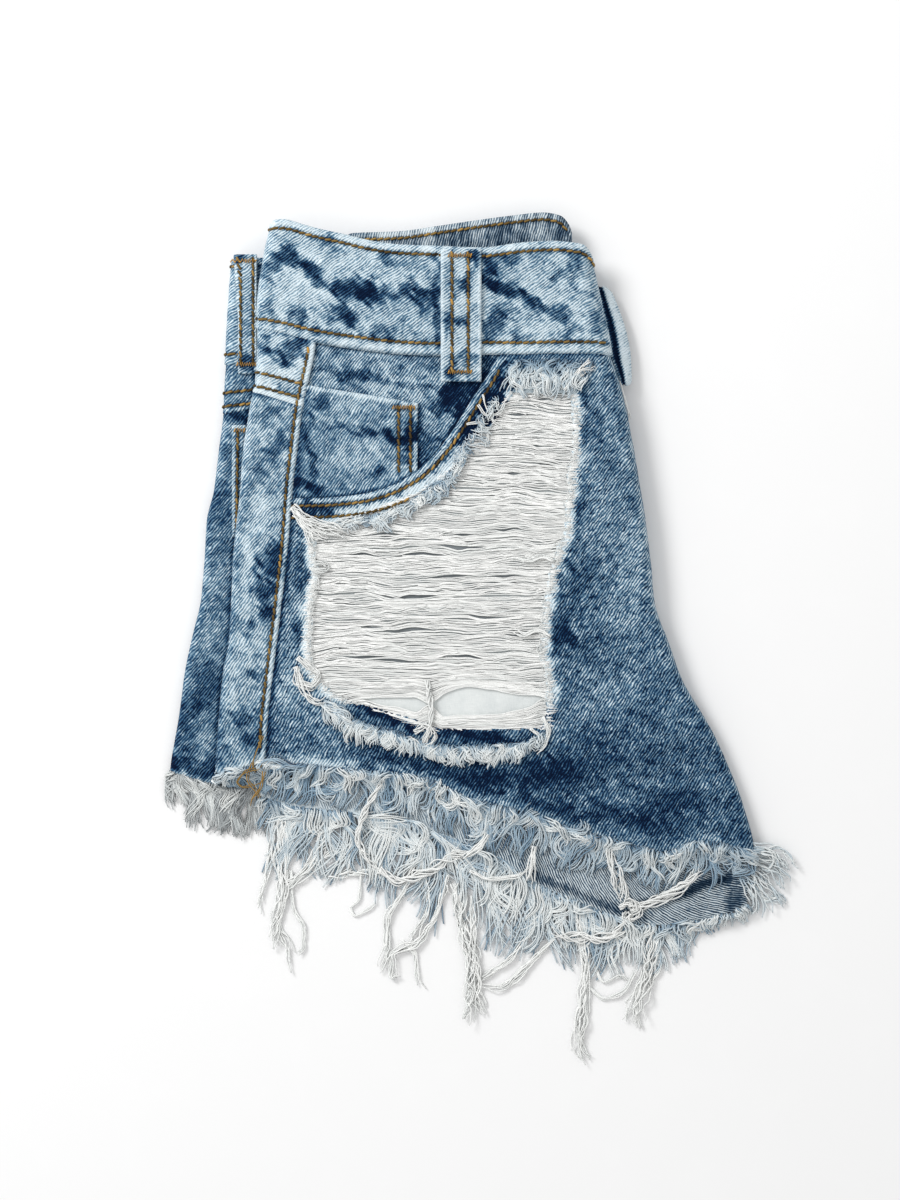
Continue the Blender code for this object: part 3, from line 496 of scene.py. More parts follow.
def down(edge, y0, y1, count=EDGE_POINTS):
    """The line of an edge that is a function of y."""
    ys = np.linspace(y0, y1, count)
    return path(np.stack([edge(ys) + 0 * ys, ys], axis=-1))


def line_length(line):
    """The length of a line given by share."""
    return np.hypot(*np.diff(line(np.linspace(0, 1, 200)), axis=0).T).sum()


def straight(x0, y0, x1, y1):
    """A straight line between two points."""
    return path([(x0, y0), (x1, y1)])


def upper_turned(y):
    """How far along the cloth the upper half's side fold goes under."""
    return upper_fold(y) + FELLED + upper_roll(y) * (1 - math.radians(UPPER_TURN))


def lower_turned(y):
    """How far along the cloth the lower half's side fold goes under."""
    return lower_fold(y) + DENIM + lower_roll(y) * (1 - math.radians(LOWER_TURN))


def below_waist(x):
    """The panels' top edge, a seam's clearance below the waistband."""
    return waist_seam(x) - SEAM_GAP


def front_end(y):
    """How far along the cloth the centre-front seam lies, round the roll."""
    return front_edge(y) - DENIM + front_roll(y) * (math.radians(FRONT_TURN) - 1)


def patch(top, bottom, left, right, columns, rows):
    """A grid of flat points filling four edge lines."""
    u = np.linspace(0, 1, columns + 1)
    v = np.linspace(0, 1, rows + 1)
    top_line, bottom_line = top(u)[None], bottom(u)[None]
    left_line, right_line = left(v)[:, None], right(v)[:, None]
    u, v = u[None, :, None], v[:, None, None]
    corners = (
        (1 - u) * (1 - v) * top_line[:, :1]
        + u * (1 - v) * top_line[:, -1:]
        + (1 - u) * v * bottom_line[:, :1]
        + u * v * bottom_line[:, -1:]
    )
    return (1 - v) * top_line + v * bottom_line + (1 - u) * left_line + u * right_line - corners


def noise(x, y, size, seed):
    """A smooth random value from -1 to 1 at a place, with features of a given size."""
    u = np.asarray(x, float) / size + 17.3 * seed
    v = np.asarray(y, float) / size - 9.1 * seed
    i, j = np.floor(u), np.floor(v)
    fu, fv = u - i, v - j
    fu, fv = fu * fu * (3 - 2 * fu), fv * fv * (3 - 2 * fv)

    def corner(right, up):
        mixed = np.sin((i + right) * 127.1 + (j + up) * 311.7 + seed * 74.7) * 43758.5453
        return 2 * (mixed - np.floor(mixed)) - 1

    low = corner(0, 0) * (1 - fu) + corner(1, 0) * fu
    high = corner(0, 1) * (1 - fu) + corner(1, 1) * fu
    return low * (1 - fv) + high * fv


def clouds(x, y, seed, size):
    """The uneven patches of an acid wash, from -1 to 1, with mottling and short streaks across the grain."""
    u, v = warped(x, y, 0.8)
    large = noise(u, v, size, seed) + 0.6 * noise(u, v, size / 2.1, seed + 1)
    small = noise(u, v, 4.4, seed + 2) + 0.8 * noise(u + v, (v - u) * 0.4, 2.2, seed + 3)
    return np.tanh(0.85 * large + 0.75 * small)


def rise(value):
    """A soft step from 0 to 1."""
    value = np.clip(value, 0, 1)
    return value * value * (3 - 2 * value)


def warped(x, y, amount):
    """Places pushed about by noise, so that the edges of dye run unevenly."""
    return (
        x + amount * (1.9 * noise(x, y, 6.5, 201) + 0.9 * noise(x, y, 2.6, 202)),
        y + amount * (1.9 * noise(x, y, 6.5, 203) + 0.9 * noise(x, y, 2.6, 204)),
    )


def spots(rows, x, y):
    """Uneven darker or paler spots, each a ragged ellipse with feathered edges."""
    u, v = warped(x, y, 1.2)
    ragged = 0.5 * noise(x + y, (y - x) * 0.3, 2.2, 5) + 0.4 * noise(x, y, 3.4, 6)
    total = np.zeros(np.shape(x))
    for *place, length, width, amount in rows:
        along, aside = turned(u, v, *place)
        total = total + amount * rise((1.7 - np.hypot(along / length, aside / width) + ragged) / 1.2)
    return total


def nearest(points, x, y):
    """Distance from a line of points, positive to its left, and how far along it the nearest place is."""
    points = np.asarray(points)
    along = np.diff(points, axis=0)
    size = np.hypot(*along.T)
    start = np.concatenate(([0], np.cumsum(size)[:-1]))
    dx = np.ravel(x)[:, None] - points[:-1, 0]
    dy = np.ravel(y)[:, None] - points[:-1, 1]
    t = np.clip((dx * along[:, 0] + dy * along[:, 1]) / size ** 2, 0, 1)
    gap = np.hypot(dx - t * along[:, 0], dy - t * along[:, 1])
    best = gap.argmin(axis=1)
    rows = np.arange(len(best))
    side = np.where(along[best, 0] * dy[rows, best] < along[best, 1] * dx[rows, best], -1, 1)
    shape = np.shape(x)
    return (gap[rows, best] * side).reshape(shape), (start[best] + t[rows, best] * size[best]).reshape(shape)


def points_on(line, count=60):
    """Points spread evenly along a line given by share."""
    return line(np.linspace(0, 1, count))


def beside(points, shift):
    """A line of points moved sideways, to the left for a positive shift."""
    along = np.gradient(points, axis=0)
    normal = np.stack([-along[:, 1], along[:, 0]], axis=-1)
    return points + shift * normal / np.linalg.norm(normal, axis=1)[:, None]


POCKET_CURVE = points_on(across(pocket_edge, POCKET_OPENING[0][0], POCKET_OPENING[-1][0]), 60)


def seam(place, line, level, period, height=0.15, reach=2.6, rows=(0,)):
    """A stitched seam: its line on the cloth, how the cloth puckers beside it, and its rows of stitches."""
    return {
        "place": place, "line": line, "level": level, "rows": rows,
        "period": period, "height": height, "reach": reach,
    }


SEAMS = {
    "waist_top": seam(upper, points_on(across(lambda x: waist_top(x) - 3.1, -104, 56)), 2.3, 7),
    "waist_bottom": seam(upper, points_on(across(lambda x: waist_seam(x) + 4.6, -106, 61)), 2.3, 6, 0.2, 3.6),
    "side": seam(upper, points_on(down(lambda y: side_seam(y) - 2.6, 139, -54)), FELLED, 6.5, 0.18),
    "yoke": seam(
        upper, points_on(straight(-106.5, 124.6, -83.6, 118.4), 20), FELLED, 3.4, 0.24, 3, (-3.2, 3.2),
    ),
    "pocket": seam(upper, beside(POCKET_CURVE, -6), DENIM, 2.9, 0.26, rows=(2.7,)),
    "pocket_inner": seam(upper, beside(POCKET_CURVE, -8.7)[:26], DENIM, 2.9, 0, 1),
    "coin": seam(upper, points_on(straight(-35.4, 111.6, -35.4, 79.5), 20), 1, 3.1, 0.2, 2.4, (-2.8, 2.8)),
    "left_band_top": seam(lower, points_on(straight(-119.5, 178.6, -104, 178.6), 10), LEFT_BAND, 5),
    "left_band_bottom": seam(lower, points_on(straight(-121.5, 136.6, -104, 136.6), 10), LEFT_BAND, 5),
    "left_yoke_upper": seam(lower, points_on(straight(-123, 118, -106, 119.9), 10), LEFT_YOKE, 3.4, 0.2),
    "left_yoke_lower": seam(lower, points_on(straight(-123.5, 111.5, -107, 113.4), 10), LEFT_YOKE, 3.4, 0.2),
    "left_pocket": seam(
        lower, points_on(straight(-114.9, 99.8, -115.6, 50.5), 20), DENIM + SEAM_GAP + 1, 5, 0.12, 1.6,
    ),
    "inside": seam(lower, points_on(across(lambda x: inside_top(x) - 2.3, -61, 42)), 3.8, 7, 0.1),
}


def puckers(names, x, y):
    """The relief and the change of colour that stitched seams give the cloth beside them: puckered wear, and
    painted shade in the grooves of the rows.
    """
    relief, wash_and_shade = np.zeros(np.shape(x)), np.zeros(np.shape(x))
    for name in names:
        made = SEAMS[name]
        gap, along = nearest(made["line"], x, y)
        period = made["period"]
        wave = np.sin(2 * math.pi * along / period + 2.4 * noise(along, gap * 0.2, 1.7 * period, 3))
        wave = wave * (0.65 + 0.35 * noise(along, 0 * along, 2.3 * period, 4))
        near = bell(gap, made["reach"])
        relief += made["height"] * wave * near
        wash_and_shade += (0.7 * made["height"] + 0.05) * wave * near
        for row in made["rows"]:
            # Painted shade in the groove along each row of stitches.
            groove = bell(gap - row, 0.9)
            relief -= 0.25 * groove
            wash_and_shade -= 0.38 * groove
    return relief, wash_and_shade


def unevenness(x, y):
    """The small unevenness of soft washed cloth."""
    return 0.22 * noise(x, y, 15, 21) + 0.13 * noise(x, y, 6.5, 22)


def creases(rows, x, y):
    """Listed creases: soft ridges where the height is positive, and troughs where it is negative."""
    total = np.zeros(np.shape(x))
    for *place, length, width, height in rows:
        along, aside = turned(x, y, *place)
        aside = aside + 0.12 * width * noise(along, 0 * along, 6, 8) - 0.02 * along * along / length
        total += height * bell(along, length) * bell(aside, width)
    return total


def worked(flat, base, patches, marks=(), seams=(), uneven=1, pucker=1, rows=()):
    """Places, wash with painted shade, and relief of a grid of cloth: its patches of wash, spots, stitched
    seams and creases.

    Patches is how strong the patches are, their seed and their size.
    """
    x, y = np.moveaxis(flat, -1, 0)
    strength, seed, size = patches
    ridges, rub_and_groove_shade = puckers(seams, x, y)
    wash_and_shade = base + strength * clouds(x, y, seed, size) + spots(marks, x, y) + rub_and_groove_shade
    return x, y, wash_and_shade, uneven * unevenness(x, y) + creases(rows, x, y) + pucker * ridges


class Graph:
    """A cloth material, built node by node."""

    def __init__(self, name, roughness, sheen):
        self.material = bpy.data.materials.new(name)
        self.material.use_nodes = True
        self.nodes = self.material.node_tree.nodes
        self.links = self.material.node_tree.links
        self.shader = self.nodes["Principled BSDF"]
        self.shader.inputs["Roughness"].default_value = roughness
        self.shader.inputs["Specular IOR Level"].default_value = 0.06
        self.shader.inputs["Sheen Weight"].default_value = sheen
        self.shader.inputs["Sheen Roughness"].default_value = 0.5

    def add(self, kind, inputs, output=0, **settings):
        """Add a node, set or link its inputs, and give one of its outputs."""
        made = self.nodes.new(kind)
        for key, value in settings.items():
            setattr(made, key, value)
        for key, value in inputs.items():
            if isinstance(value, bpy.types.NodeSocket):
                self.links.new(value, made.inputs[key])
            else:
                made.inputs[key].default_value = value
        return made.outputs[output]

    def math(self, operation, first, second=0):
        return self.add("ShaderNodeMath", {0: first, 1: second}, operation=operation)

    def scaled(self, value, factor, offset=0):
        return self.add("ShaderNodeMath", {0: value, 1: factor, 2: offset}, operation="MULTIPLY_ADD")

    def attribute(self, name, output):
        return self.add("ShaderNodeAttribute", {}, output, attribute_name=name)

    def turned(self, vector, angle, size):
        """Coordinates turned by an angle in degrees, then divided by a size along each axis."""
        inputs = {"Vector": vector, "Rotation": (0, 0, math.radians(angle)), "Scale": (*size, 1)}
        return self.add("ShaderNodeMapping", inputs, vector_type="TEXTURE")

    def grain(self, vector, scale=1, detail=2):
        """Noise centred on zero, about -0.5 to 0.5."""
        inputs = {"Vector": vector, "Scale": scale, "Detail": detail}
        return self.scaled(self.add("ShaderNodeTexNoise", inputs, "Fac"), 1, -0.5)

    def ramp(self, value, stops):
        """A colour ramp through (place, sRGB colour) stops."""
        made = self.add("ShaderNodeValToRGB", {"Fac": value}).node
        elements = made.color_ramp.elements
        while len(elements) < len(stops):
            elements.new(0.5)
        for element, (place, colour) in zip(elements, stops):
            element.position = place
            element.color = (*(linear(part) for part in colour), 1)
        return made.outputs[0]

    def finish(self, colour, height, distance):
        """Link the colour and the bump."""
        self.links.new(colour, self.shader.inputs["Base Color"])
        bump = self.add("ShaderNodeBump", {"Height": height, "Distance": distance * MM, "Strength": 1})
        self.links.new(bump, self.shader.inputs["Normal"])
        return self.material


def linear(part):
    """One part of an sRGB colour, 0 to 255, as linear light."""
    part = part / 255
    return part / 12.92 if part <= 0.04045 else ((part + 0.055) / 1.055) ** 2.4


def denim(name, angle, spacing, ramp, twill=0.3, scratch=0, crackle=0):
    """Washed denim: diagonal twill, yarns of uneven thickness, and a wash with painted shade that comes with
    the mesh.
    """
    graph = Graph(name, 0.9, 0.025)
    cloth = graph.attribute("cloth", "Vector")

    def fibres(turn, size, detail=2):
        """Noise stretched along a direction, its size in millimetres along each axis."""
        return graph.grain(graph.turned(cloth, turn, size), detail=detail)

    phase = graph.add("ShaderNodeSeparateXYZ", {"Vector": graph.turned(cloth, angle, (1, spacing))}, "Y")
    phase = graph.scaled(fibres(0, (6, 6)), 1.5, phase)
    phase = graph.scaled(fibres(angle, (5, 2.4)), 0.9, phase)
    wave = graph.math("SINE", graph.scaled(phase, 2 * math.pi))
    wave = graph.math("MAXIMUM", graph.math("MINIMUM", graph.scaled(wave, 1.5), 1), -1)
    dashes = fibres(angle, (3, 0.8), 3)
    yarns = fibres(0, (0.6, 5))
    line = graph.math("MULTIPLY", wave, graph.scaled(dashes, 2.4, 0.9))
    value = graph.math("ADD", graph.attribute("wash_and_shade", "Fac"), 0.06 * crackle)
    specks, patches = fibres(0, (1, 1), 3), fibres(20, (4.2, 3), 3)
    for part, share in ((line, twill), (dashes, 0.5), (yarns, 0.3), (specks, 0.55), (patches, 0.75)):
        value = graph.scaled(part, share, value)
    for turn, size, detail, least, amount in (
        (-42, (5.5, 0.55), 1, 0.05, scratch),
        (-58, (5.5, 0.55), 1, 0.07, scratch),
        (30, (5.5, 0.55), 1, 0.1, scratch),
        (6, (4.6, 1.5), 3, 0.04, -crackle),
        (68, (3.4, 1.3), 3, 0.04, -crackle),
    ):
        if amount:
            marks = graph.math("MAXIMUM", graph.scaled(fibres(turn, size, detail), 1, -least), 0)
            value = graph.scaled(marks, amount, value)
    height = graph.scaled(yarns, 0.8, graph.scaled(line, 0.6))
    return graph.finish(graph.ramp(value, ramp), height, 0.26)


def cotton(name, ramp, sheen=0.3, size=0.5):
    """Cotton thread or plain cotton cloth."""
    graph = Graph(name, 0.85, sheen)
    place = graph.add("ShaderNodeTexCoord", {}, "Object")
    fine = graph.grain(place, 1 / (size * MM))
    value = graph.scaled(fine, 0.22, graph.attribute("wash_and_shade", "Fac"))
    value = graph.scaled(graph.grain(place, 1 / (9 * MM)), 0.16, value)
    return graph.finish(graph.ramp(value, ramp), fine, 0.12)


def plain_weave(name, ramp):
    """Thin plain-woven cotton of the pocket bag."""
    graph = Graph(name, 0.85, 0.2)
    cloth = graph.attribute("cloth", "Vector")
    warp, weft = (graph.grain(graph.turned(cloth, 0, size)) for size in ((0.4, 3), (3, 0.4)))
    weave = graph.math("ADD", warp, weft)
    value = graph.scaled(weave, 0.12, graph.attribute("wash_and_shade", "Fac"))
    return graph.finish(graph.ramp(value, ramp), weave, 0.12)


DENIM_RAMP = [
    (0, (4, 20, 46)),
    (0.16, (15, 46, 79)),
    (0.32, (38, 74, 107)),
    (0.48, (71, 106, 133)),
    (0.62, (106, 137, 158)),
    (0.76, (144, 170, 186)),
    (0.88, (179, 200, 213)),
    (1, (214, 228, 235)),
]
INNER_RAMP = [
    (0, (16, 38, 60)),
    (0.3, (66, 88, 108)),
    (0.5, (106, 126, 142)),
    (0.7, (146, 162, 174)),
    (1, (212, 222, 226)),
]
THREAD_RAMP = [
    (0, (30, 60, 94)),
    (0.25, (94, 130, 157)),
    (0.5, (160, 184, 200)),
    (0.75, (215, 225, 229)),
    (1, (246, 248, 246)),
]
WHITE_RAMP = [
    (0, (124, 130, 133)),
    (0.3, (196, 202, 203)),
    (0.6, (238, 241, 239)),
    (1, (255, 255, 253)),
]
STITCH_RAMP = [
    (0, (40, 32, 20)),
    (0.4, (104, 84, 46)),
    (0.7, (166, 134, 76)),
    (1, (214, 158, 72)),
]


def placed(name, data, place=(0, 0, 0)):
    """A new object of the scene."""
    thing = bpy.data.objects.new(name, data)
    thing.location = place
    bpy.context.scene.collection.objects.link(thing)
    return thing


def make_mesh(name, points, faces, values, finish):
    """A mesh object from points in millimetres, arrays of faces, and values for its materials."""
    mesh = bpy.data.meshes.new(name)
    mesh.vertices.add(len(points))
    mesh.vertices.foreach_set("co", (points * MM).astype(np.float32).ravel())
    corners = np.concatenate([face.ravel() for face in faces])
    sizes = np.concatenate([np.full(len(face), face.shape[1]) for face in faces])
    mesh.loops.add(len(corners))
    mesh.loops.foreach_set("vertex_index", corners.astype(np.int32))
    mesh.polygons.add(len(sizes))
    mesh.polygons.foreach_set("loop_start", np.concatenate(([0], np.cumsum(sizes)[:-1])).astype(np.int32))
    mesh.polygons.foreach_set("use_smooth", np.ones(len(sizes), bool))
    mesh.update(calc_edges=True)
    for key, value in values.items():
        kind, field = ("FLOAT_VECTOR", "vector") if value.ndim == 2 else ("FLOAT", "value")
        mesh.attributes.new(key, kind, "POINT").data.foreach_set(field, value.astype(np.float32).ravel())
    mesh.materials.append(finish)
    piece = placed(name, mesh)
    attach(piece, "root")
    return piece


def leaning(x, y):
    """Twill coordinates of the upper half's cloth: its grain leans more towards the flared hem.

    Round the side fold they spread as the outer face does.
    """
    below = y - 20
    over = np.maximum(upper_fold(y) + FELLED + upper_roll(y) - x, 0)
    return x - 0.8 * over + 0.1 * (below - np.hypot(below, 20)), y


def straight_grain(x, y):
    """Twill coordinates of cloth whose grain runs straight."""
    return x, y


def fanned(x, y):
    """Twill coordinates of the inner hem, whose diagonal lines turn flatter towards the centre front."""
    at = np.linspace(-110, 135, 246)
    turn = np.radians(np.interp(at, (30, 60, 121), (112, 122, 174)))
    centre = inner_hem(at) + 8

    def field(along_x, along_y):
        """A value that grows by the given amounts along x and y on the hem's middle line."""
        total = np.cumsum(along_x + along_y * np.gradient(centre, at)) * (at[1] - at[0])
        return np.interp(x, at, along_y) * (y - np.interp(x, at, centre)) + np.interp(x, at, total)

    return field(np.cos(turn), np.sin(turn)), field(np.sin(turn), -np.cos(turn))


def shell(name, place, flat, inner, outer, wash_and_shade, finish, keep, grain):
    """A closed thin shell of cloth: an outer face, an inner face, and a rounded rim between them."""
    rows, columns = flat.shape[:2]
    x, y = flat[..., 0], flat[..., 1]
    inner, outer = (np.broadcast_to(value, x.shape) for value in (inner, outer))
    count = rows * columns
    corner = np.arange(count).reshape(rows, columns)
    cells = np.stack([corner[:-1, :-1], corner[1:, :-1], corner[1:, 1:], corner[:-1, 1:]], axis=-1)
    cells = cells[keep] if keep is not None else cells.reshape(-1, 4)
    edges = np.stack([cells, np.roll(cells, -1, axis=1)], axis=-1).reshape(-1, 2)
    key = edges.min(axis=1) * count + edges.max(axis=1)
    _, first, times = np.unique(key, return_index=True, return_counts=True)
    rim = edges[first[times == 1]]
    coords = np.stack([x.ravel(), y.ravel()], axis=-1)
    away = np.zeros((count, 2))
    step = coords[rim[:, 1]] - coords[rim[:, 0]]
    outward = np.stack([step[:, 1], -step[:, 0]], axis=-1)
    outward /= np.linalg.norm(outward, axis=1)[:, None] + 1e-9
    np.add.at(away, rim[:, 0], outward)
    np.add.at(away, rim[:, 1], outward)
    away /= np.linalg.norm(away, axis=1)[:, None] + 1e-9
    on_rim = np.unique(rim)
    thick = (outer - inner).ravel()[on_rim]
    out = coords[on_rim] + away[on_rim] * (RIM_BULGE * thick)[:, None]
    middle = place(out[:, 0], out[:, 1], inner.ravel()[on_rim] + 0.5 * thick)
    top = place(x, y, outer).reshape(-1, 3)
    under = place(x, y, inner).reshape(-1, 3)
    order = np.full(count, -1)
    order[on_rim] = 2 * count + np.arange(len(on_rim))
    a, b = rim.T
    faces = np.concatenate([
        cells,
        cells[:, ::-1] + count,
        np.stack([b, a, order[a], order[b]], axis=-1),
        np.stack([order[b], order[a], a + count, b + count], axis=-1),
    ])
    points = np.concatenate([top, under, middle])
    flat_all = np.concatenate([coords, coords, out])
    shade = np.concatenate([wash_and_shade.ravel(), wash_and_shade.ravel(), wash_and_shade.ravel()[on_rim]])
    used, faces = np.unique(faces, return_inverse=True)
    grain = grain or (leaning if place is upper else straight_grain)
    cloth = np.column_stack([*grain(*flat_all.T), 0 * flat_all[:, 0]])[used]
    return make_mesh(
        name, points[used], [faces.reshape(-1, 4)], {"cloth": cloth, "wash_and_shade": shade[used]}, finish,
    )


def panel(
    name, place, flat, inner, outer, wash_and_shade, finish, rests_on=("folded_layers",),
    keep=None, with_pieces=(), grain=None,
):
    """One cut piece of cloth, in the place of its solid, which it hides."""
    wash_and_shade = np.clip(wash_and_shade, -0.25, 1.5)
    piece = shell(name + "_cloth", place, flat, inner, outer, wash_and_shade, finish, keep, grain)
    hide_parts(name)
    if rests_on:
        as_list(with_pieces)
    return piece


def grid_between(left_of, right_of, start, end, step):
    """A fine grid between two edges that are functions of y and two that are functions of x."""
    y_middle = (start(0) + end(0)) / 2
    x_middle = (left_of(y_middle) + right_of(y_middle)) / 2
    rows = int(abs(start(x_middle) - end(x_middle)) / step) + 1
    columns = int(abs(right_of(y_middle) - left_of(y_middle)) / step) + 1
    u = np.linspace(0, 1, columns + 1)[None, :]
    v = np.linspace(0, 1, rows + 1)[:, None]
    x = 0 * u + 0 * v
    for _ in range(6):
        y = start(x) + (end(x) - start(x)) * v
        x = (1 - u) * left_of(y) + u * right_of(y)
    return np.stack([x, y], axis=-1)


def always(value):
    """An edge at one constant place."""
    return lambda at: value + 0 * np.asarray(at, float)


class Threads:
    """Many thin closed tubes gathered into one mesh."""

    def __init__(self, seed):
        self.rng = np.random.default_rng(seed)
        self.points, self.faces, self.tints = [], {}, []
        self.total = 0

    def add(self, paths, radius, tint, sides=3, shaded=0.3):
        """Add a tube along each path. Radius and tint are numbers, or arrays that fit the paths.

        Shaded is how much darker a thread is low on its sides, where its neighbours shade it.
        """
        paths = np.asarray(paths, float)
        n, k = paths.shape[:2]
        radius = np.broadcast_to(radius, (n, k))[..., None, None]
        along = np.gradient(paths, axis=1)
        along /= np.linalg.norm(along, axis=2, keepdims=True) + 1e-9
        side = np.cross(along, np.array([0.02, 0.01, 1]))
        side /= np.linalg.norm(side, axis=2, keepdims=True) + 1e-9
        up = np.cross(side, along)
        turn = np.arange(sides) * 2 * math.pi / sides + math.pi / 2
        ring = np.cos(turn)[:, None] * side[:, :, None] + np.sin(turn)[:, None] * up[:, :, None]
        self.points.append((paths[:, :, None] + radius * ring).reshape(-1, 3))
        start = (np.arange(n)[:, None, None] * k + np.arange(k - 1)[None, :, None]) * sides + self.total
        a = start + np.arange(sides)
        b = start + np.roll(np.arange(sides), -1)
        quads = np.stack([a, b, b + sides, a + sides], axis=-1).reshape(-1, 4)
        self.faces.setdefault(4, []).append(quads)
        ends = np.arange(n)[:, None] * k * sides + np.arange(sides) + self.total
        caps = np.concatenate([ends[:, ::-1], ends + (k - 1) * sides])
        self.faces.setdefault(sides, []).append(caps)
        tint = np.broadcast_to(tint, (n, k))[..., None] + shaded * (np.sin(turn) - 1) / 1.5
        self.tints.append(tint.ravel())
        self.total += n * k * sides

    def build(self, name, finish, node=None):
        """Make the mesh, in the place of its solid where it has one."""
        faces = [np.concatenate(group) for group in self.faces.values()]
        tints = np.clip(np.concatenate(self.tints), 0, 1)
        piece = make_mesh(name, np.concatenate(self.points), faces, {"wash_and_shade": tints}, finish)
        if node:
            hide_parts(node)


def wander(rng, roots, aim, length, bend, curl, count, turns=None):
    """Flat paths of threads: each leaves its root by its aim, bends steadily and curls."""
    n = len(roots)
    s = np.linspace(0, 1, count)[None, :]
    if turns is None:
        turns = np.stack([rng.uniform(0.5, 1.6, n), rng.random(n)], axis=-1)
    wave = np.sin(2 * math.pi * (turns[:, :1] * s + turns[:, 1:]))
    angle = aim[:, None] + bend[:, None] * s + curl[:, None] * wave
    step = (length / (count - 1))[:, None]
    moved = np.stack([np.cos(angle) * step, np.sin(angle) * step], axis=-1)[:, :-1]
    return np.concatenate([roots[:, None], roots[:, None] + np.cumsum(moved, axis=1)], axis=1)


def line_through(points, count):
    """A smooth curve through points, as evenly spaced new points."""
    points = np.asarray(points, float)
    gaps = np.linalg.norm(np.diff(points, axis=0), axis=1)
    at = np.concatenate(([0], np.cumsum(gaps))) / gaps.sum()
    rows = np.column_stack([at, points])
    t = np.linspace(0, 1, count)
    return np.stack([smooth(rows, column)(t) for column in range(1, points.shape[1] + 1)], axis=-1)


def bunch(threads, points, strands, width, tint, radius=0.46, twist=0, loose=1, root=0):
    """A loose bunch of wavy threads along given points: x and y, and a height where a point has one."""
    rng = threads.rng
    points = [(*point, BUNCH_LEVEL) if len(point) == 2 else point for point in points]
    size = np.linalg.norm(np.diff(np.array(points), axis=0), axis=1).sum()
    count = int(np.clip(size / 1.3, 8, 60))
    core = line_through(points, 3 * count)
    along = np.gradient(core, axis=0)
    along /= np.linalg.norm(along, axis=1)[:, None] + 1e-9
    s = np.linspace(0, 1, count)[None, :]
    reach = s * rng.uniform(0.78, 1, (strands, 1))
    grid = np.linspace(0, 1, 3 * count)
    own = lambda column, values: np.interp(reach, grid, values[:, column])
    centre = np.stack([own(0, core), own(1, core), own(2, core)], axis=-1)
    normal = np.stack([-own(1, along), own(0, along)], axis=-1)
    row = 37 * np.arange(strands)[:, None] + 1000 * rng.random() + 0 * s
    at = size * reach
    turn = rng.random((strands, 1)) * 2 * math.pi + twist * at
    wave = noise(at, row, 11, 211) * 0.8 + 0.5 * noise(at, row, 5, 212)
    open_up = 0.8 + 0.5 * loose * s ** 3
    aside, up = np.linspace(-0.5, 0.5, strands)[:, None], 0.6
    if twist:
        aside, up = 0.8 * np.cos(turn), 0.9 * np.sin(turn)
    shift = width / 2 * open_up * (wave + aside) + 0.3 * noise(at, row, 2.6, 215)
    rise_by = width / 4 * (noise(at, row, 6, 213) + up)
    paths = np.empty(centre.shape)
    paths[..., :2] = centre[..., :2] + shift[..., None] * normal
    paths[..., 2] = np.maximum(centre[..., 2] + rise_by, radius + 0.05)
    shade = tint + 0.08 * rng.standard_normal((strands, 1)) + 0.06 * noise(at, row, 5, 214)
    threads.add(paths, radius * (1 - 0.4 * s ** 6), shade - root * (1 - rise(2 * s)))


# Spots in cloth coordinates: a negative amount makes the cloth darker, a positive one paler. A row marked so
# is painted shadow.
BAND_SPOTS = [
    # x,     y,     angle, length, width, amount
    (-90, 181.5, -35, 6, 3.6, -0.5),
    (-79.5, 173.6, -36, 9, 3, -0.62),
    (-60, 166, -12, 8, 5, -0.6),
    (-50.5, 163, -25, 7, 4, -0.6),
    (-34, 166.5, 10, 5, 4, -0.56),
    (-25, 161.5, -25, 5.5, 4.2, -0.5),
    (-72, 164, -33, 20, 1.6, 0.2),
    (-64, 153.5, -42, 7, 3, -0.56),
    (-45.5, 146.5, -30, 5.5, 3.2, -0.56),
    (-85, 154.5, -30, 5, 3.4, -0.38),
    (-43, 182, 50, 4.6, 3.4, -0.4),
    (-70.5, 188, -15, 5.5, 3, -0.42),
    (-97.9, 176.7, 20, 4, 3, -0.4),
    (-99.5, 160, 90, 9, 2, -0.3),
    (-78, 146.8, 0, 4, 2, -0.24),
    (-58, 179, 60, 5, 2.6, -0.2),
    # Painted shadow: a dark line beside the front belt loop's left edge.
    (-19.3, 160, 90, 22, 1.6, -0.42),
    (3, 171.5, -15, 6, 5, -0.62),
    (13, 167, -24, 7, 3.8, -0.64),
    (24, 161, -30, 6, 3, -0.56),
    (37, 156.5, -20, 8, 2.8, -0.46),
    (5, 177.5, 80, 5, 3.6, -0.4),
    (6.5, 150.5, 70, 8, 3.4, -0.5),
    (14, 156, -10, 4, 2.4, -0.26),
    (14.8, 181, 0, 3.4, 2.6, -0.42),
    (36.5, 173, 70, 4, 2.6, -0.36),
    (44.5, 177, 95, 7, 2.8, -0.34),
    (19, 145, 0, 3.4, 2.2, -0.36),
    (42.1, 146, 30, 4, 2.2, -0.32),
    (54, 152, 100, 6, 2.2, -0.3),
]
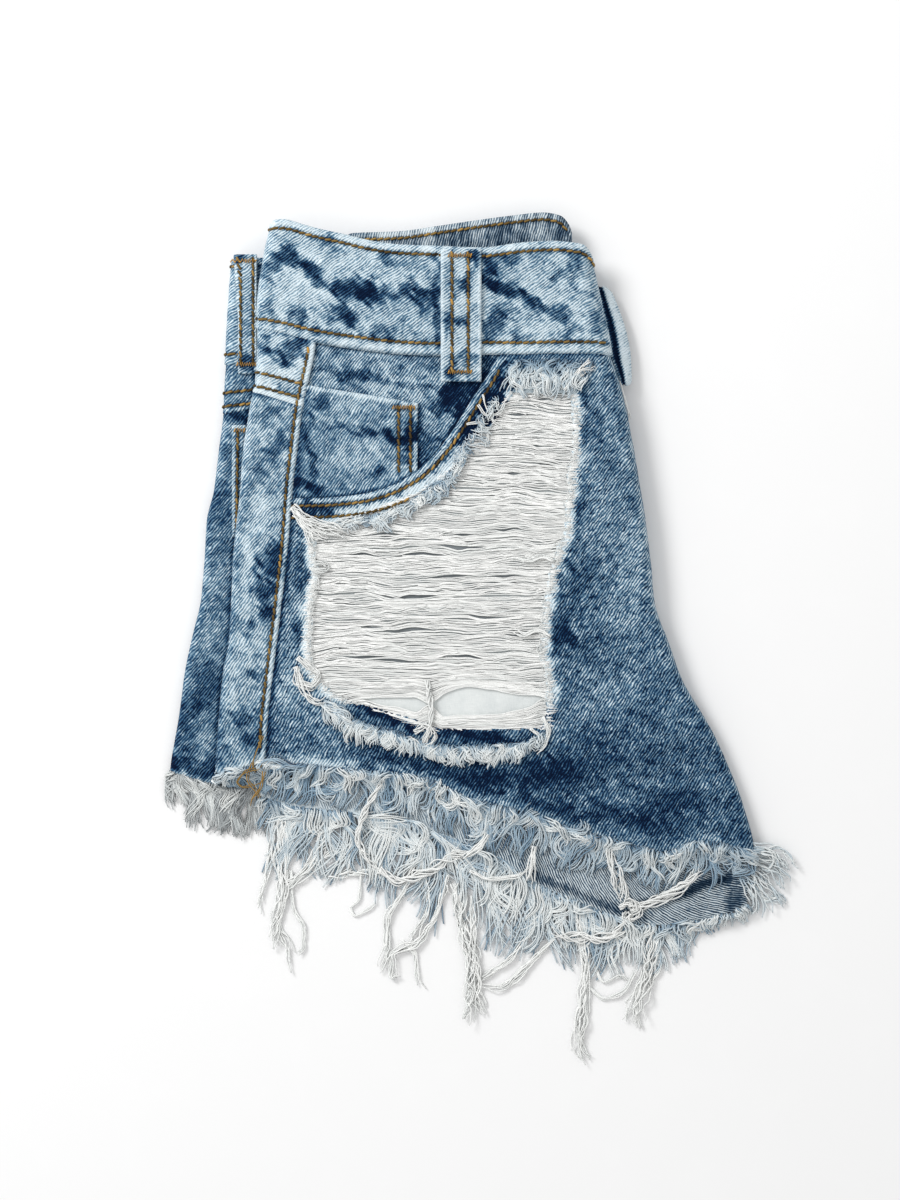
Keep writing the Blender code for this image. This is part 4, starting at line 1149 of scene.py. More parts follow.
FRONT_SPOTS = [
    (-49.8, -32.6, -21, 19, 2.4, -0.6),
    (-1.5, -45.6, -9, 22, 2.6, -0.6),
    (6, 110, 52, 10, 4, -1.7),
    (-6, 98, 45, 6, 3, -1.2),
    (14, 121, 20, 7, 3, -0.8),
    (44, 118, 80, 14, 5, -0.16),
    (46, 96, 80, 12, 5, -0.2),
    (56, 122, 100, 10, 3, 0.12),
    (45, 60, 85, 18, 5, -0.2),
    (62, 70, 78, 22, 7, 0.05),
    (72, 40, 80, 22, 5, 0.08),
    (48, 20, 60, 16, 7, -0.12),
    (66, 4, 35, 16, 6, 0.08),
    (52, -4, 20, 20, 6, -0.16),
    (40, 2.5, 80, 5, 2.6, -0.35),
    (84, -26, 50, 18, 5, -0.14),
    (60, -30, 10, 18, 6, 0.08),
    (48, -60, 5, 22, 8, -0.18),
    (20, -64, 10, 22, 6, -0.28),
    (-10, -62, 170, 20, 5, -0.22),
    (-40, -56, 0, 18, 5, -0.14),
    (-52, -63, 0, 8, 2.6, -0.4),
    (92, -78, 15, 18, 5, -0.18),
    (110, -74, 120, 16, 4, 0.05),
    (70, -84, 160, 18, 3.4, -0.26),
    (36, -79, 165, 16, 3, -0.3),
    (-72, 40, 85, 20, 3, 0.12),
    (-76, 64, 0, 6, 4, -0.4),
    (-68, 55, 150, 12, 4, -0.3),
    (-84, 20, 88, 40, 2.6, -0.22),
    (-90, -30, 88, 30, 3, 0.12),
    (-86, -52, 0, 8, 4, -0.12),
]
BACK_SPOTS = [
    (-95.6, 94.3, 60, 6, 3.4, -0.42),
    (-97, 108, 20, 6, 3, -0.3),
    (-97.4, 40.1, 60, 7, 5, -0.5),
    (-101.6, 22.9, 80, 6, 4, -0.5),
    (-101.2, 13, 30, 5, 3.4, -0.55),
    (-109.5, 6.8, 20, 3.4, 2.4, -0.45),
    (-105.7, -16.2, 30, 3.6, 2.6, -0.5),
    (-110.5, -36, 0, 7, 3.4, -0.42),
    (-112, 34, 70, 22, 3, 0.16),
    (-108, 60, 80, 16, 4, 0.12),
    (-116, -10, 80, 26, 3, 0.14),
    (-105, 78, 70, 8, 3, -0.22),
    (-104, -46, 0, 7, 3, -0.35),
]
YOKE_SPOTS = [
    (-88.5, 139.6, 25, 8.4, 5.4, -0.66),
    (-93, 131.5, 10, 6, 2.6, -0.42),
    (-100, 140, 70, 5, 2.6, -0.36),
    (-88, 119, -15, 7, 2.4, -0.4),
]
FACING_SPOTS = [
    (-72, 141, 80, 8, 1.6, 0.25),
    (-30, 132, 10, 14, 4, -0.22),
    (-8, 122, 55, 14, 6, -0.5),
    (-4, 108, 60, 14, 5, -0.6),
    (-18, 112, 50, 10, 5, -0.36),
    (-26, 90, 50, 8, 3.4, -0.4),
    (-62, 134, 10, 10, 3, 0.1),
    (-50, 124.5, -10, 26, 1.8, -0.34),
]
COIN_SPOTS = [
    (-74.3, 115, 70, 5, 3, -0.42),
    (-60, 100, -8, 20, 1.6, -0.3),
    (-38, 97, -10, 10, 2, -0.5),
    (-33, 94, 80, 8, 2.2, -0.4),
    (-46.7, 81.9, 0, 3, 1.8, -0.5),
    (-82, 74.5, -10, 7, 2.4, -0.46),
    (-80, 92, 90, 14, 1.6, -0.4),
    (-56, 88, 30, 12, 5, 0.12),
]
LEFT_SPOTS = [
    (-122, 60, 80, 22, 4, -0.12),
    (-128, 20, 80, 20, 4, 0.08),
    (-130, -22, 70, 18, 5, -0.16),
    (-138, -46, 85, 14, 6, -0.2),
    (-136, -60.5, 0, 20, 3.2, -0.4),
    (-116, 106, 0, 5, 3, -0.4),
]
LOOP_SPOTS = [
    (-3, 181.4, 0, 2.4, 1.8, -0.5),
    (-14.2, 149.6, 90, 4.6, 1.4, -0.42),
    (-8.6, 151, 60, 3, 2, -0.5),
    (-4.6, 170, 90, 4, 1.6, -0.5),
    (-9, 132, 10, 7, 3, -0.3),
    (-12, 127, 0, 5, 1.8, -0.4),
    (-112, 182, 0, 4, 2.4, -0.55),
    (-110, 134, 0, 5, 3.4, -0.6),
]

# Small creases of the upper half's cloth. Ridges stand up, troughs sink.
BAND_CREASES = [
    # x,     y,     angle, length, width, height
    (-74, 168.5, -33, 26, 2.2, 0.5),
    (-77.9, 172.8, -32, 14, 2.2, -0.55),
    (-62, 155, -38, 14, 2.4, -0.5),
    (-50, 170, -25, 14, 3, 0.35),
    (14, 163, -22, 18, 2.6, -0.55),
    (18, 168.5, -20, 18, 2.6, 0.4),
    (8, 150, 65, 12, 2.6, -0.4),
    (36, 158, -35, 9, 2.2, -0.4),
    (-34, 150, 40, 10, 3, 0.3),
    (44, 170, 70, 12, 2.6, -0.35),
]
COIN_CREASES = [
    (-62, 101, -9, 24, 1.6, -0.5),
    (-40, 96.4, -10, 12, 1.6, -0.7),
    (-52, 104.5, -8, 20, 2.4, 0.35),
    (-76, 84, 40, 8, 2.2, -0.4),
    (-58, 84, 60, 9, 3, 0.3),
]
BACK_CREASES = [
    (-100, 40, 35, 10, 3, -0.5),
    (-108, 46, 40, 12, 3, 0.4),
    (-103, 14, 25, 10, 2.6, -0.5),
    (-110, 20, 60, 14, 3, 0.4),
    (-112, -14, 70, 16, 3, 0.35),
    (-106, -24, 30, 8, 2.4, -0.4),
    (-98, 78, 30, 9, 3, -0.4),
    (-104, 92, 50, 10, 3, 0.35),
    (-112, -44, 10, 9, 2.4, -0.4),
]
FRONT_CREASES = [
    (56, 90, 15, 14, 3, -0.3),
    (60, 62, 20, 16, 4, 0.3),
    (64, 28, 30, 18, 4, -0.35),
    (56, 4, 25, 18, 4, 0.4),
    (74, -16, 40, 20, 4, -0.4),
    (50, -28, 8, 20, 4, 0.35),
    (86, -50, 30, 20, 5, 0.4),
    (60, -66, 10, 20, 4, -0.4),
    (-76, 60, -20, 10, 2.6, 0.4),
    (-72, 54, -28, 10, 2.4, -0.5),
    (-84, 30, 85, 16, 3, 0.3),
    (-60, -52, 20, 14, 3, -0.35),
]

# Slits between the white threads: where each opens, and how far.
SLITS = [
    # x,     y,    length, opening
    (-54.8, 40.7, 6, 0.9),
    (-28.6, 40.7, 11, 1.1),
    (-60.5, 28.8, 4, 0.8),
    (-32.4, 22, 12, 1.6),
    (-52.9, 8, 6, 1),
    (-34.5, 5.5, 9, 1.2),
    (-68.3, -4.3, 5, 0.9),
    (-53.3, -8.4, 7, 1.1),
    (-37.4, -9.6, 9, 1.3),
    (-5, -7, 8, 1),
    (19.9, 107, 5, 0.9),
    (30.7, 114, 3, 0.7),
    (27.6, 92.4, 2, 0.9),
    (16, 79.5, 2.4, 1.2),
    (31, 84.5, 4, 0.9),
    (8.6, 71, 3, 0.8),
    (-7.9, 50.7, 4, 1),
    (-9, 45.2, 8, 1.4),
    (12, 30, 7, 0.9),
    (2, 12, 8, 0.9),
    (18, 4, 6, 0.8),
    (-66, 18, 6, 0.8),
    (-14, 30, 9, 1),
    (14, 52, 7, 0.8),
    (-44, 50, 7, 0.8),
]

THREAD = 0.48         # radius of a loose thread
BUNCH_LEVEL = 1       # height of a bunch's points that have none of their own
STITCH = 0.64         # radius of the stitching thread
STITCH_LENGTH = 2.5
STITCH_PITCH = 3.2    # a stitch and the gap after it
TACK_WIDTH = 1.7      # how far a bar tack zigzags
WEFT_PITCH = 0.58     # spacing of the white threads across the rip
FRAY_LOCKS = 0.3      # locks a millimetre along the rip's frayed edges

rip_left = smooth(RIP, 1)
rip_right = smooth(RIP, 2)


def inside_ring(ring, x, y):
    """Whether places lie inside a closed ring of points."""
    inside = np.zeros(np.shape(x), bool)
    for (x0, y0), (x1, y1) in zip(ring, np.roll(ring, -1, axis=0)):
        crosses = (y0 > y) != (y1 > y)
        with np.errstate(divide="ignore", invalid="ignore"):
            inside ^= crosses & (x < (x1 - x0) * (y - y0) / (y1 - y0) + x0)
    return inside


def rip_ring():
    """The rip's outline as a fine closed ring, slightly ragged."""
    ys = np.linspace(RIP[0][0], RIP[-1][0], 160)
    right = np.stack([rip_right(ys) + 0.5 * noise(ys, 0 * ys, 2.2, 31), ys], axis=-1)
    left = np.stack([rip_left(ys) + 0.5 * noise(ys, 0 * ys, 2.2, 32), ys], axis=-1)
    return np.concatenate([right, left[::-1]])


def build_front(finish):
    """The right front, with its rip cut through."""
    left_of = lambda y: side_seam(y) + SEAM_GAP / 2
    corner_y = float(waist_seam(FRONT["corner"])) - SEAM_GAP
    hem_y = float(upper_hem(FRONT["hem_right"]))
    opening = points_on(across(pocket_edge, POCKET_OPENING[0][0], POCKET_OPENING[-1][0]), 90).tolist()
    waist_line = points_on(across(below_waist, FRONT["waist_left"], FRONT["corner"]), 30).tolist()
    hem_line = points_on(across(upper_hem, FRONT["hem_left"], FRONT["hem_right"]), 120).tolist()
    top_y = opening[0][1]
    corner = lambda edge, y: (float(edge(y)), y)
    flat = patch(
        path([corner(left_of, top_y)] + opening[1:] + waist_line + [corner(front_end, corner_y)]),
        path(hem_line + [corner(front_end, hem_y)]),
        down(left_of, top_y, float(upper_hem(FRONT["hem_left"]))),
        down(front_end, corner_y, hem_y, 120),
        190, 165,
    )
    ring = rip_ring()
    middle = (flat[1:, 1:] + flat[:-1, :-1] + flat[1:, :-1] + flat[:-1, 1:]) / 4
    keep = ~inside_ring(ring, middle[..., 0], middle[..., 1])
    x, y, wash_and_shade, relief = worked(
        flat, 0.38, (0.13, 3, 12), FRONT_SPOTS, ("pocket", "pocket_inner"), rows=FRONT_CREASES,
    )
    gap, _ = nearest(np.concatenate([ring, ring[:1]]), x, y)
    rolled_edge = bell(nearest(POCKET_CURVE, x, y)[0] + 1.1, 1.1)
    wash_and_shade += 0.06 * rise((-60 - x) / 20) + (0.5 - 0.3 * rise((x + 16) / 12)) * rolled_edge
    # Painted shadow just below the waistband's edge, and the cloth a little darker lower down the leg.
    wash_and_shade -= 0.3 * bell(waist_seam(x) - y, 1.6) + 0.12 * rise((-10 - y) / 60)
    frayed = rise(1.2 - np.abs(gap) / (5.2 + 2.2 * noise(x, y, 3.6, 12)))
    wash_and_shade += 0.95 * frayed * rise((y + 34) / 8)
    faded = rise(1 - (y - upper_hem(x)) / (5.4 + 3.4 * noise(x, y, 6, 13)))
    wash_and_shade += (0.5 - 0.28 * rise((x + 60) / 60)) * faded
    # Painted shadow in the low step right of the felled side seam.
    wash_and_shade -= (0.5 + 0.2 * noise(y, 0 * y, 16, 14)) * bell(x - side_seam(y) - 0.8, 1.3)
    wash_and_shade += 0.18 * bell(x - front_edge(y) + 1, 1.4)
    panel(
        "right_front", upper, flat, 0, DENIM + relief + 0.45 * rolled_edge, wash_and_shade, finish,
        rests_on=["folded_layers", "front_pocket_bag"], keep=keep,
    )


def build_pocket(facing_finish, coin_finish, bag_finish):
    """The facing, the coin pocket on it, and the white pocket bag behind the rip."""
    left, right = FACING["left"], FACING["right"]
    below = lambda shift: [(x + shift, y - TUCK - shift) for x, y in POCKET_OPENING[1:-1]]
    flat = patch(
        across(below_waist, left, right),
        path([FACING["bottom_left"]] + below(3) + [FACING["bottom_right"]]),
        down(lambda y: side_seam(y) + SEAM_GAP / 2, float(below_waist(left)), FACING["bottom_left"][1]),
        straight(right, float(below_waist(right)), *FACING["bottom_right"]),
        84, 60,
    )
    x, y, wash_and_shade, relief = worked(flat, 0.57, (0.22, 41, 18), FACING_SPOTS)
    # Painted shadows just below the waistband's edge and along the pocket opening, under the front's rolled
    # edge.
    wash_and_shade -= 0.3 * bell(y - waist_seam(x), 2) + 0.45 * rise(1 - abs(nearest(POCKET_CURVE, x, y)[0]) / 3.6)
    # Painted shadow beside the coin pocket's right edge.
    wash_and_shade -= 0.45 * bell(x - COIN_POCKET_TOP[-1][0] - 0.8, 1.5) * rise((113.5 - y) / 2)
    outer = DENIM - POCKET_DEPTH + 0.5 * np.minimum(relief, 0.3)
    panel("front_pocket_facing", upper, flat, -POCKET_DEPTH, outer, wash_and_shade, facing_finish)

    top = smooth(COIN_POCKET_TOP, 1)
    flat = grid_between(
        lambda y: side_seam(y) + 0.5, always(COIN_POCKET_TOP[-1][0]),
        top, lambda x: pocket_edge(x) + 2 * SEAM_GAP, 1,
    )
    x, y, wash_and_shade, relief = worked(flat, 0.64, (0.16, 51, 16), COIN_SPOTS, ("coin",), rows=COIN_CREASES)
    fold = bell(top(x) - y - 0.6, 1)
    wash_and_shade += 0.4 * fold + 0.2 * bell(x + 30.2, 0.8)
    # Painted shadows along the pocket opening, where the coin pocket goes under the front, and beside the
    # side seam.
    wash_and_shade -= 0.34 * bell(y - pocket_edge(x) - 0.8, 1.3) + 0.3 * bell(x - side_seam(y) - 1.5, 2)
    panel(
        "coin_pocket", upper, flat, 0, DENIM - 0.2 + relief + 0.3 * fold, wash_and_shade, coin_finish,
        rests_on=["front_pocket_facing_cloth"],
    )

    flat = patch(
        path([BAG["top_left"]] + below(4.6) + [BAG["peak"], BAG["top_right"]]),
        straight(*BAG["bottom_left"], *BAG["bottom_right"]),
        straight(*BAG["top_left"], *BAG["bottom_left"]),
        straight(*BAG["top_right"], *BAG["bottom_right"]),
        66, 66,
    )
    x, y = np.moveaxis(flat, -1, 0)
    # Painted shade: the bag is darker under the threads than in the open gap below them.
    wash_and_shade = 0.26 + 0.18 * rise((-19 - y) / 4) + 0.06 * clouds(x, y, 61, 20)
    # Painted shadow along each slit between the threads.
    for at_x, at_y, length, opening in SLITS:
        wash_and_shade -= 0.5 * opening * bell(x - at_x, length) * bell(y - at_y, 1.8)
    base = SEAM_GAP - POCKET_DEPTH
    outer = base + POCKETING + 0.15 * noise(x, y, 9, 62)
    panel("front_pocket_bag", upper, flat, base, outer, wash_and_shade, bag_finish)


def build_back(finish, yoke_finish):
    """The right back and its yoke, rolled round the side fold and felled over the front."""
    seam_line = lambda y: side_seam(y) - SEAM_GAP / 2
    flat = grid_between(upper_turned, seam_line, below_waist, lambda x: yoke_edge(x) + SEAM_GAP / 2, 0.9)
    x, y, wash_and_shade, relief = worked(flat, 0.98, (0.2, 71, 14), YOKE_SPOTS, ("side", "yoke"), 0.5)
    raised = 0.3 * bell(y - yoke_edge(x) - 0.9, 0.9) + 0.3 * bell(side_seam(y) - x - 0.9, 1)
    # The raised felled edges paler, and a painted shadow just below the waistband's edge.
    wash_and_shade += raised - 0.4 * bell(waist_seam(x) - y, 1.6)
    panel("right_yoke", upper, flat, 0, FELLED + relief + raised, wash_and_shade, yoke_finish)

    flat = grid_between(upper_turned, seam_line, lambda x: yoke_edge(x) - SEAM_GAP / 2, upper_hem, 0.9)
    x, y, wash_and_shade, relief = worked(flat, 0.63, (0.18, 81, 16), BACK_SPOTS, ("side",), rows=BACK_CREASES)
    ridge = bell(side_seam(y) - x - 0.9, 1)
    wash_and_shade += 0.32 * ridge + 0.34 * rise(1 - (y - upper_hem(x)) / (4 + 1.5 * noise(x, y, 4, 13)))
    # Painted shadow just below the yoke's edge.
    wash_and_shade -= 0.34 * bell(yoke_edge(x) - y, 1.6)
    wash_and_shade += 0.16 * rise(y / 40) * bell(x - upper_fold(y) - 1.2, 1)
    # Painted shade on the side fold's roll below y = 70, toning down the side that faces the key light.
    wash_and_shade -= 0.28 * rise((70 - y) / 30) * rise((upper_fold(y) + 8 - x) / 8)
    panel("right_back", upper, flat, 0, FELLED + relief + 0.35 * ridge, wash_and_shade, finish)


def build_left(finish, band_finish, side_loop):
    """The strip of the lower half that shows at the left: waistband, yoke, back and pocket."""
    left, top = LEFT_POCKET["left"], LEFT_POCKET["top"]
    flat = grid_between(
        always(left), lambda y: upper_fold(y) - 0.4, always(top), always(LEFT_POCKET["bottom"]), 0.8,
    )
    x, y, wash_and_shade, relief = worked(flat, 0.5, (0.15, 95, 14), (), ("left_pocket",), 0, 0.5)
    wash_and_shade += 0.4 * (bell(x - left - 0.5, 0.8) + bell(top - y - 0.5, 0.9))
    base = DENIM + SEAM_GAP
    pocket = panel("left_back_pocket", lower, flat, base, base + 1 + relief, wash_and_shade, finish, rests_on=None)

    hidden = lambda y: upper_fold(y) + FELLED + upper_roll(y) - 1
    half = SEAM_GAP / 2
    for name, start, end, thick, seams, base, cloth, with_pieces in (
        ("left_waistband", always(LEFT_BAND_TOP), always(LEFT_BAND_SEAM + half), LEFT_BAND,
         ("left_band_top", "left_band_bottom"), 0.66, band_finish, [side_loop]),
        ("left_yoke", always(LEFT_BAND_SEAM - half), lambda x: left_yoke_edge(x) + half, LEFT_YOKE,
         ("left_yoke_upper", "left_yoke_lower"), 0.56, finish, ()),
        ("left_back", lambda x: left_yoke_edge(x) - half, lower_hem, DENIM, (), 0.5, finish, [pocket]),
    ):
        flat = grid_between(lower_turned, hidden, start, end, 1)
        x, y, wash_and_shade, relief = worked(flat, base, (0.17, 91, 16), LEFT_SPOTS, seams, 0.6)
        # Each piece paler just above its lower edge, and a painted shade line just below its top edge.
        wash_and_shade += 0.2 * bell(y - end(x) - 0.8, 0.9) - 0.2 * bell(start(x) - y, 1.2)
        # Painted shadow where the upper half's fold overhangs the strip.
        wash_and_shade -= 0.3 * bell(x - upper_fold(y) + 0.6, 1.2)
        panel(name, lower, flat, 0, thick + relief, wash_and_shade, cloth, with_pieces=with_pieces)


def build_waistband(finish, inner_finish):
    """The upper half's waistband, and the inside of the back one above it."""
    flat = grid_between(upper_turned, front_end, waist_top, waist_seam, 1)
    x, y, wash_and_shade, relief = worked(
        flat, 0.76, (0.19, 101, 14), BAND_SPOTS, ("waist_top", "waist_bottom"), 0.7, rows=BAND_CREASES,
    )
    top_edge = bell(waist_top(x) - y - 0.9, 1)
    low_edge = bell(y - waist_seam(x) - 1.2, 1.2)
    wash_and_shade += 0.34 * top_edge + 0.16 * low_edge + 0.14 * bell(x - upper_fold(y) - 1.2, 1.2)
    outer = BAND - BAND_SINK + relief + 0.25 * top_edge + 0.1 * low_edge
    panel("waistband", upper, flat, -BAND_SINK, outer, wash_and_shade, finish)

    ends = [always(end) for end in INSIDE_ENDS]
    flat = grid_between(*ends, inside_top, lambda x: waist_top(x) - INSIDE_HIDDEN, 1)
    x, y, wash_and_shade, relief = worked(flat, 0.48, (0.16, 113, 12), (), ("inside",), 0.2, 0.5)
    streaks = noise(x, y * 0.12, 1.6, 111) + 0.6 * noise(x, y * 0.2, 3.4, 112)
    wash_and_shade += 0.26 * streaks + 0.4 * bell(inside_top(x) - y - 0.7, 0.9) - 0.3 * rise((x - 30) / 9)
    panel("waistband_inside", lower, flat, 0.6, 0.6 + BAND + relief, wash_and_shade, inner_finish)


# The hollow between the inner hem and the front's frayed hem, near the centre front, painted dark as its
# shadow.
HEM_CREVICE = [
    # x,     y
    (78, -126),
    (90, -123),
    (100, -120.2),
    (107, -116.4),
    (119, -113.6),
]


def build_back_hem(finish):
    """The inner face of the right back below the front hem."""
    ends = [always(end) for end in BACK_HEM_ENDS]
    flat = grid_between(*ends, lambda x: upper_hem(x) + BACK_HEM_HIDDEN, inner_hem, 1.1)
    x, y, wash_and_shade, relief = worked(flat, 0.7, (0.14, 121, 14))
    above = y - inner_hem(x)
    navy = rise((x - 18) / 12) * rise((84 - x) / 12)
    crevice = bell(nearest(HEM_CREVICE, x, y)[0], 2)
    wash_and_shade += 0.4 * rise((10 - x) / 30) + 0.3 * rise(1 - above / 1.8) + 0.3 * rise((x - 125) / 2)
    wash_and_shade -= (0.5 * navy + 0.1) * bell(above - 3.6, 2.4 + noise(x, y, 6, 122))
    # The navy at the right end, and painted shadow in the hollow under the front's fringe.
    wash_and_shade -= 0.5 * rise((x - 116) / 4) + 1.1 * crevice
    outer = DENIM + 0.4 * np.minimum(relief, 0.4) - 0.6 * crevice
    panel("right_back_hem", lower, flat, 0, outer, wash_and_shade, finish, grain=fanned)


# The two loops that lie flat: their piece, the half that they lie on, and their rows of stitches in x.
LOOPS = (
    ("belt_loop_front", upper, FRONT_LOOP, FRONT_LOOP_LIFT, (-12.9, -5.2)),
    ("belt_loop_side", lower, SIDE_LOOP, SIDE_LOOP_LIFT, (-113.4, -107.4)),
)


def build_loops(finish):
    """The three belt loops."""
    for name, place, loop, lifts, rows in LOOPS:
        x = np.linspace(loop["left"] + 0.5, loop["right"] - 0.5, 25)[None, :]
        x, share = np.broadcast_arrays(x, np.linspace(0, 1, 80)[:, None])
        flat = np.stack([x, loop["top"] + (loop["bottom"] - loop["top"]) * share], axis=-1)
        lift = np.interp(share, *np.transpose(lifts))
        x, y, wash_and_shade, _ = worked(flat, 0.75, (0.2, 133, 8), LOOP_SPOTS)
        edge = bell(x - loop["left"] - 0.7, 0.9) + bell(loop["right"] - x - 0.7, 0.9)
        groove = sum(bell(x - row, 0.8) for row in rows)
        ripple = 0.08 * np.sin(2 * math.pi * y / 4.2 + 2 * noise(y, x * 0.1, 6, 131)) * groove
        # The loop's edges paler with wear, and painted shade in the grooves of its stitch rows.
        side_loop = panel(
            name, place, flat, lift, lift + LOOP + 0.22 * edge - 0.2 * groove + ripple,
            wash_and_shade + 0.34 * edge - 0.42 * groove + ripple, finish,
            rests_on=["waistband"] if place is upper else None,
        )

    outer = smooth(BACK_LOOP, 1)
    u = np.linspace(0, 1, 12)[None, :]
    down_it = np.linspace(0, 1, 50)[:, None]
    y = np.linspace(BACK_LOOP[0][0], BACK_LOOP[-1][0], 50)[:, None]
    y = y - 3.2 * u ** 4 * rise(1 - 5 * down_it) + 1.6 * u ** 6 * rise(6 * down_it - 5)
    inner = front_edge(y) + 0.5
    flat = np.stack(np.broadcast_arrays(inner + (outer(y) - inner) * u, y), axis=-1)

    def hanging(x, y, d):
        """A point on the loop at the centre back, which droops from the fold."""
        near = front_edge(y) + 0.5
        share = np.clip((x - near) / (outer(y) - near), 0, 1)
        return np.stack([x, y, BACK_LOOP_LEVEL - BACK_LOOP_DROP * share ** 2 + d - LOOP / 2], axis=-1)

    share = np.broadcast_to(u, flat.shape[:2])
    band = np.exp(-((share - 0.76) / 0.3) ** 4)
    # A hollow dented into the loop and painted dark as the shadow gap beside the waistband's edge.
    hollow = bell(share - 0.3, 0.15)
    wash_and_shade = 0.7 + 0.14 * clouds(flat[..., 0], flat[..., 1], 141, 8) + 0.46 * band - 1.3 * hollow
    panel("belt_loop_back", hanging, flat, 0, LOOP + 1.1 * band - 0.8 * hollow, wash_and_shade, finish)
    return side_loop


def build_layers(finish):
    """The hidden layers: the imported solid, finer, with the cloth's colour on its edges and underside."""
    work = bmesh.new()
    work.from_mesh(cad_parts["folded_layers"].data)
    bmesh.ops.remove_doubles(work, verts=work.verts, dist=1e-5)
    bmesh.ops.join_triangles(work, faces=work.faces, angle_face_threshold=0.5, angle_shape_threshold=0.9)
    long_edges = [edge for edge in work.edges if edge.calc_length() > 6 * MM]
    bmesh.ops.subdivide_edges(work, edges=long_edges, cuts=1, use_grid_fill=True)
    bmesh.ops.triangulate(work, faces=work.faces)
    work.normal_update()
    work.verts.index_update()
    points = np.array([vert.co for vert in work.verts]) / MM
    facing = np.clip(1.5 * np.array([vert.normal for vert in work.verts]), -1, 1)
    faces = np.array([[vert.index for vert in face.verts] for face in work.faces])
    work.free()
    x, y, z = points.T
    cloth = np.column_stack([x - facing[:, 0] * z, y - facing[:, 1] * z, 0 * z])
    values = {"cloth": cloth, "wash_and_shade": 0.48 + 0.16 * noise(x, y, 18, 151)}
    piece = make_mesh("folded_layers_cloth", points, [faces], values, finish)
    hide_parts("folded_layers")


def locks(threads, line, layer, reach, aim, level, steps, radius):
    """Frayed locks along a line of points: each is a flat bunch of threads that share its bends.

    Reach and aim are functions of the place in x. Level puts a thread at its height over what it lies on.
    """
    count, strands, part, width, bend, curl, lift, tint = layer
    rng = threads.rng
    run = path(line)
    share = np.clip((np.arange(count) + 0.5 + 0.45 * rng.uniform(-1, 1, count)) / count, 0.001, 0.999)
    centre = run(share)
    edge = run(share + 0.001) - run(share - 0.001)
    edge /= np.linalg.norm(edge, axis=1)[:, None] + 1e-9
    x, y = centre.T
    own = lambda value: np.repeat(value, strands, axis=0)
    wide = width * rng.uniform(0.7, 1.3, count)
    offset = (np.linspace(-0.5, 0.5, strands)[None, :] + 0.05 * rng.standard_normal((count, strands))).ravel()
    aside = offset * own(wide)
    inward = np.stack([-edge[:, 1], edge[:, 0]], axis=-1)
    roots = own(centre) + aside[:, None] * own(edge)
    roots = roots + rng.uniform(-1.8, 0.6, count * strands)[:, None] * own(inward)
    way = aim(x) + 0.4 * noise(x + y, x - y, 7, 171) + 0.2 * rng.standard_normal(count)
    spread = rng.uniform(-0.09, 0.02, count)
    way = own(way) + own(spread) * aside + 0.05 * rng.standard_normal(count * strands)
    size = own(part * reach(x) * rng.uniform(0.72, 1.06, count)) * rng.uniform(0.84, 1.03, count * strands)
    bends = own(bend * (0.8 * noise(x - y, x + y, 8, 173) + 0.6 * rng.standard_normal(count)))
    curls = own(curl * rng.uniform(0.4, 1, count))
    turns = own(np.stack([rng.uniform(0.4, 1.3, count), rng.random(count)], axis=-1))
    bends = bends + 0.1 * rng.standard_normal(len(roots))
    curls = curls + 0.08 * rng.standard_normal(len(roots))
    flat = wander(rng, roots, way, size, bends, curls, steps, turns)
    s = np.linspace(0, 1, steps)[None, :]
    round_over = np.sqrt(np.maximum(1 - (1.9 * offset) ** 2, 0))[:, None]
    high = own(lift * rng.uniform(0.3, 1, count))[:, None] * np.sin(math.pi * (0.12 + 0.8 * s))
    points = level(flat[..., 0], flat[..., 1], 0.1 + high + 0.9 * round_over * rise(4 * s))
    shade = own(tint + 0.11 * rng.standard_normal(count) + 0.08 * noise(x, y, 12, 174))[:, None]
    # Threads at a lock's edges are painted darker, as shade between the locks.
    shade = shade - 0.3 * (1 - round_over) + 0.05 * rng.standard_normal((len(roots), 1))
    threads.add(points, radius * (1 - 0.3 * s ** 3), shade - 0.25 * (1 - rise(3 * s)) + 0.08 * s, shaded=0.36)


def on_the_floor(x, y):
    """The height of what lies below threads that hang past all cloth."""
    return 0.4


def sinking(place, edge, floor, fall):
    """Heights of threads that leave a cloth's edge and sink to what lies below it."""
    def level(x, y, lift):
        drop = rise((edge(x) - y) / fall)
        points = place(x, y, 0.5 * DENIM + lift)
        points[..., 2] = points[..., 2] * (1 - drop) + (floor(x, y) + lift) * drop
        points[..., 2] = np.maximum(points[..., 2], THREAD + 0.05)
        return points

    return level


def sew(threads, place, points, level):
    """Stitches along a line on the cloth, each a short slanted arc that dips into it at both ends."""
    run = path(points)
    total = line_length(run)
    starts = np.arange(max(int(total / STITCH_PITCH), 1))[:, None] * STITCH_PITCH
    starts = (starts + STITCH_LENGTH * np.linspace(0, 1, 5)[None, :]) / total
    along = run(starts + 0.01) - run(starts - 0.01)
    aside = np.stack([-along[..., 1], along[..., 0]], axis=-1) / np.linalg.norm(along, axis=-1, keepdims=True)
    x, y = np.moveaxis(run(starts) + np.linspace(-0.3, 0.3, 5)[:, None] * aside, -1, 0)
    paths = place(x, y, level(x, y) + np.array([-0.16, 0.16, 0.24, 0.16, -0.16]))
    threads.add(paths, STITCH, 0.52 + 0.18 * threads.rng.standard_normal((len(paths), 1)), 5, 0.6)


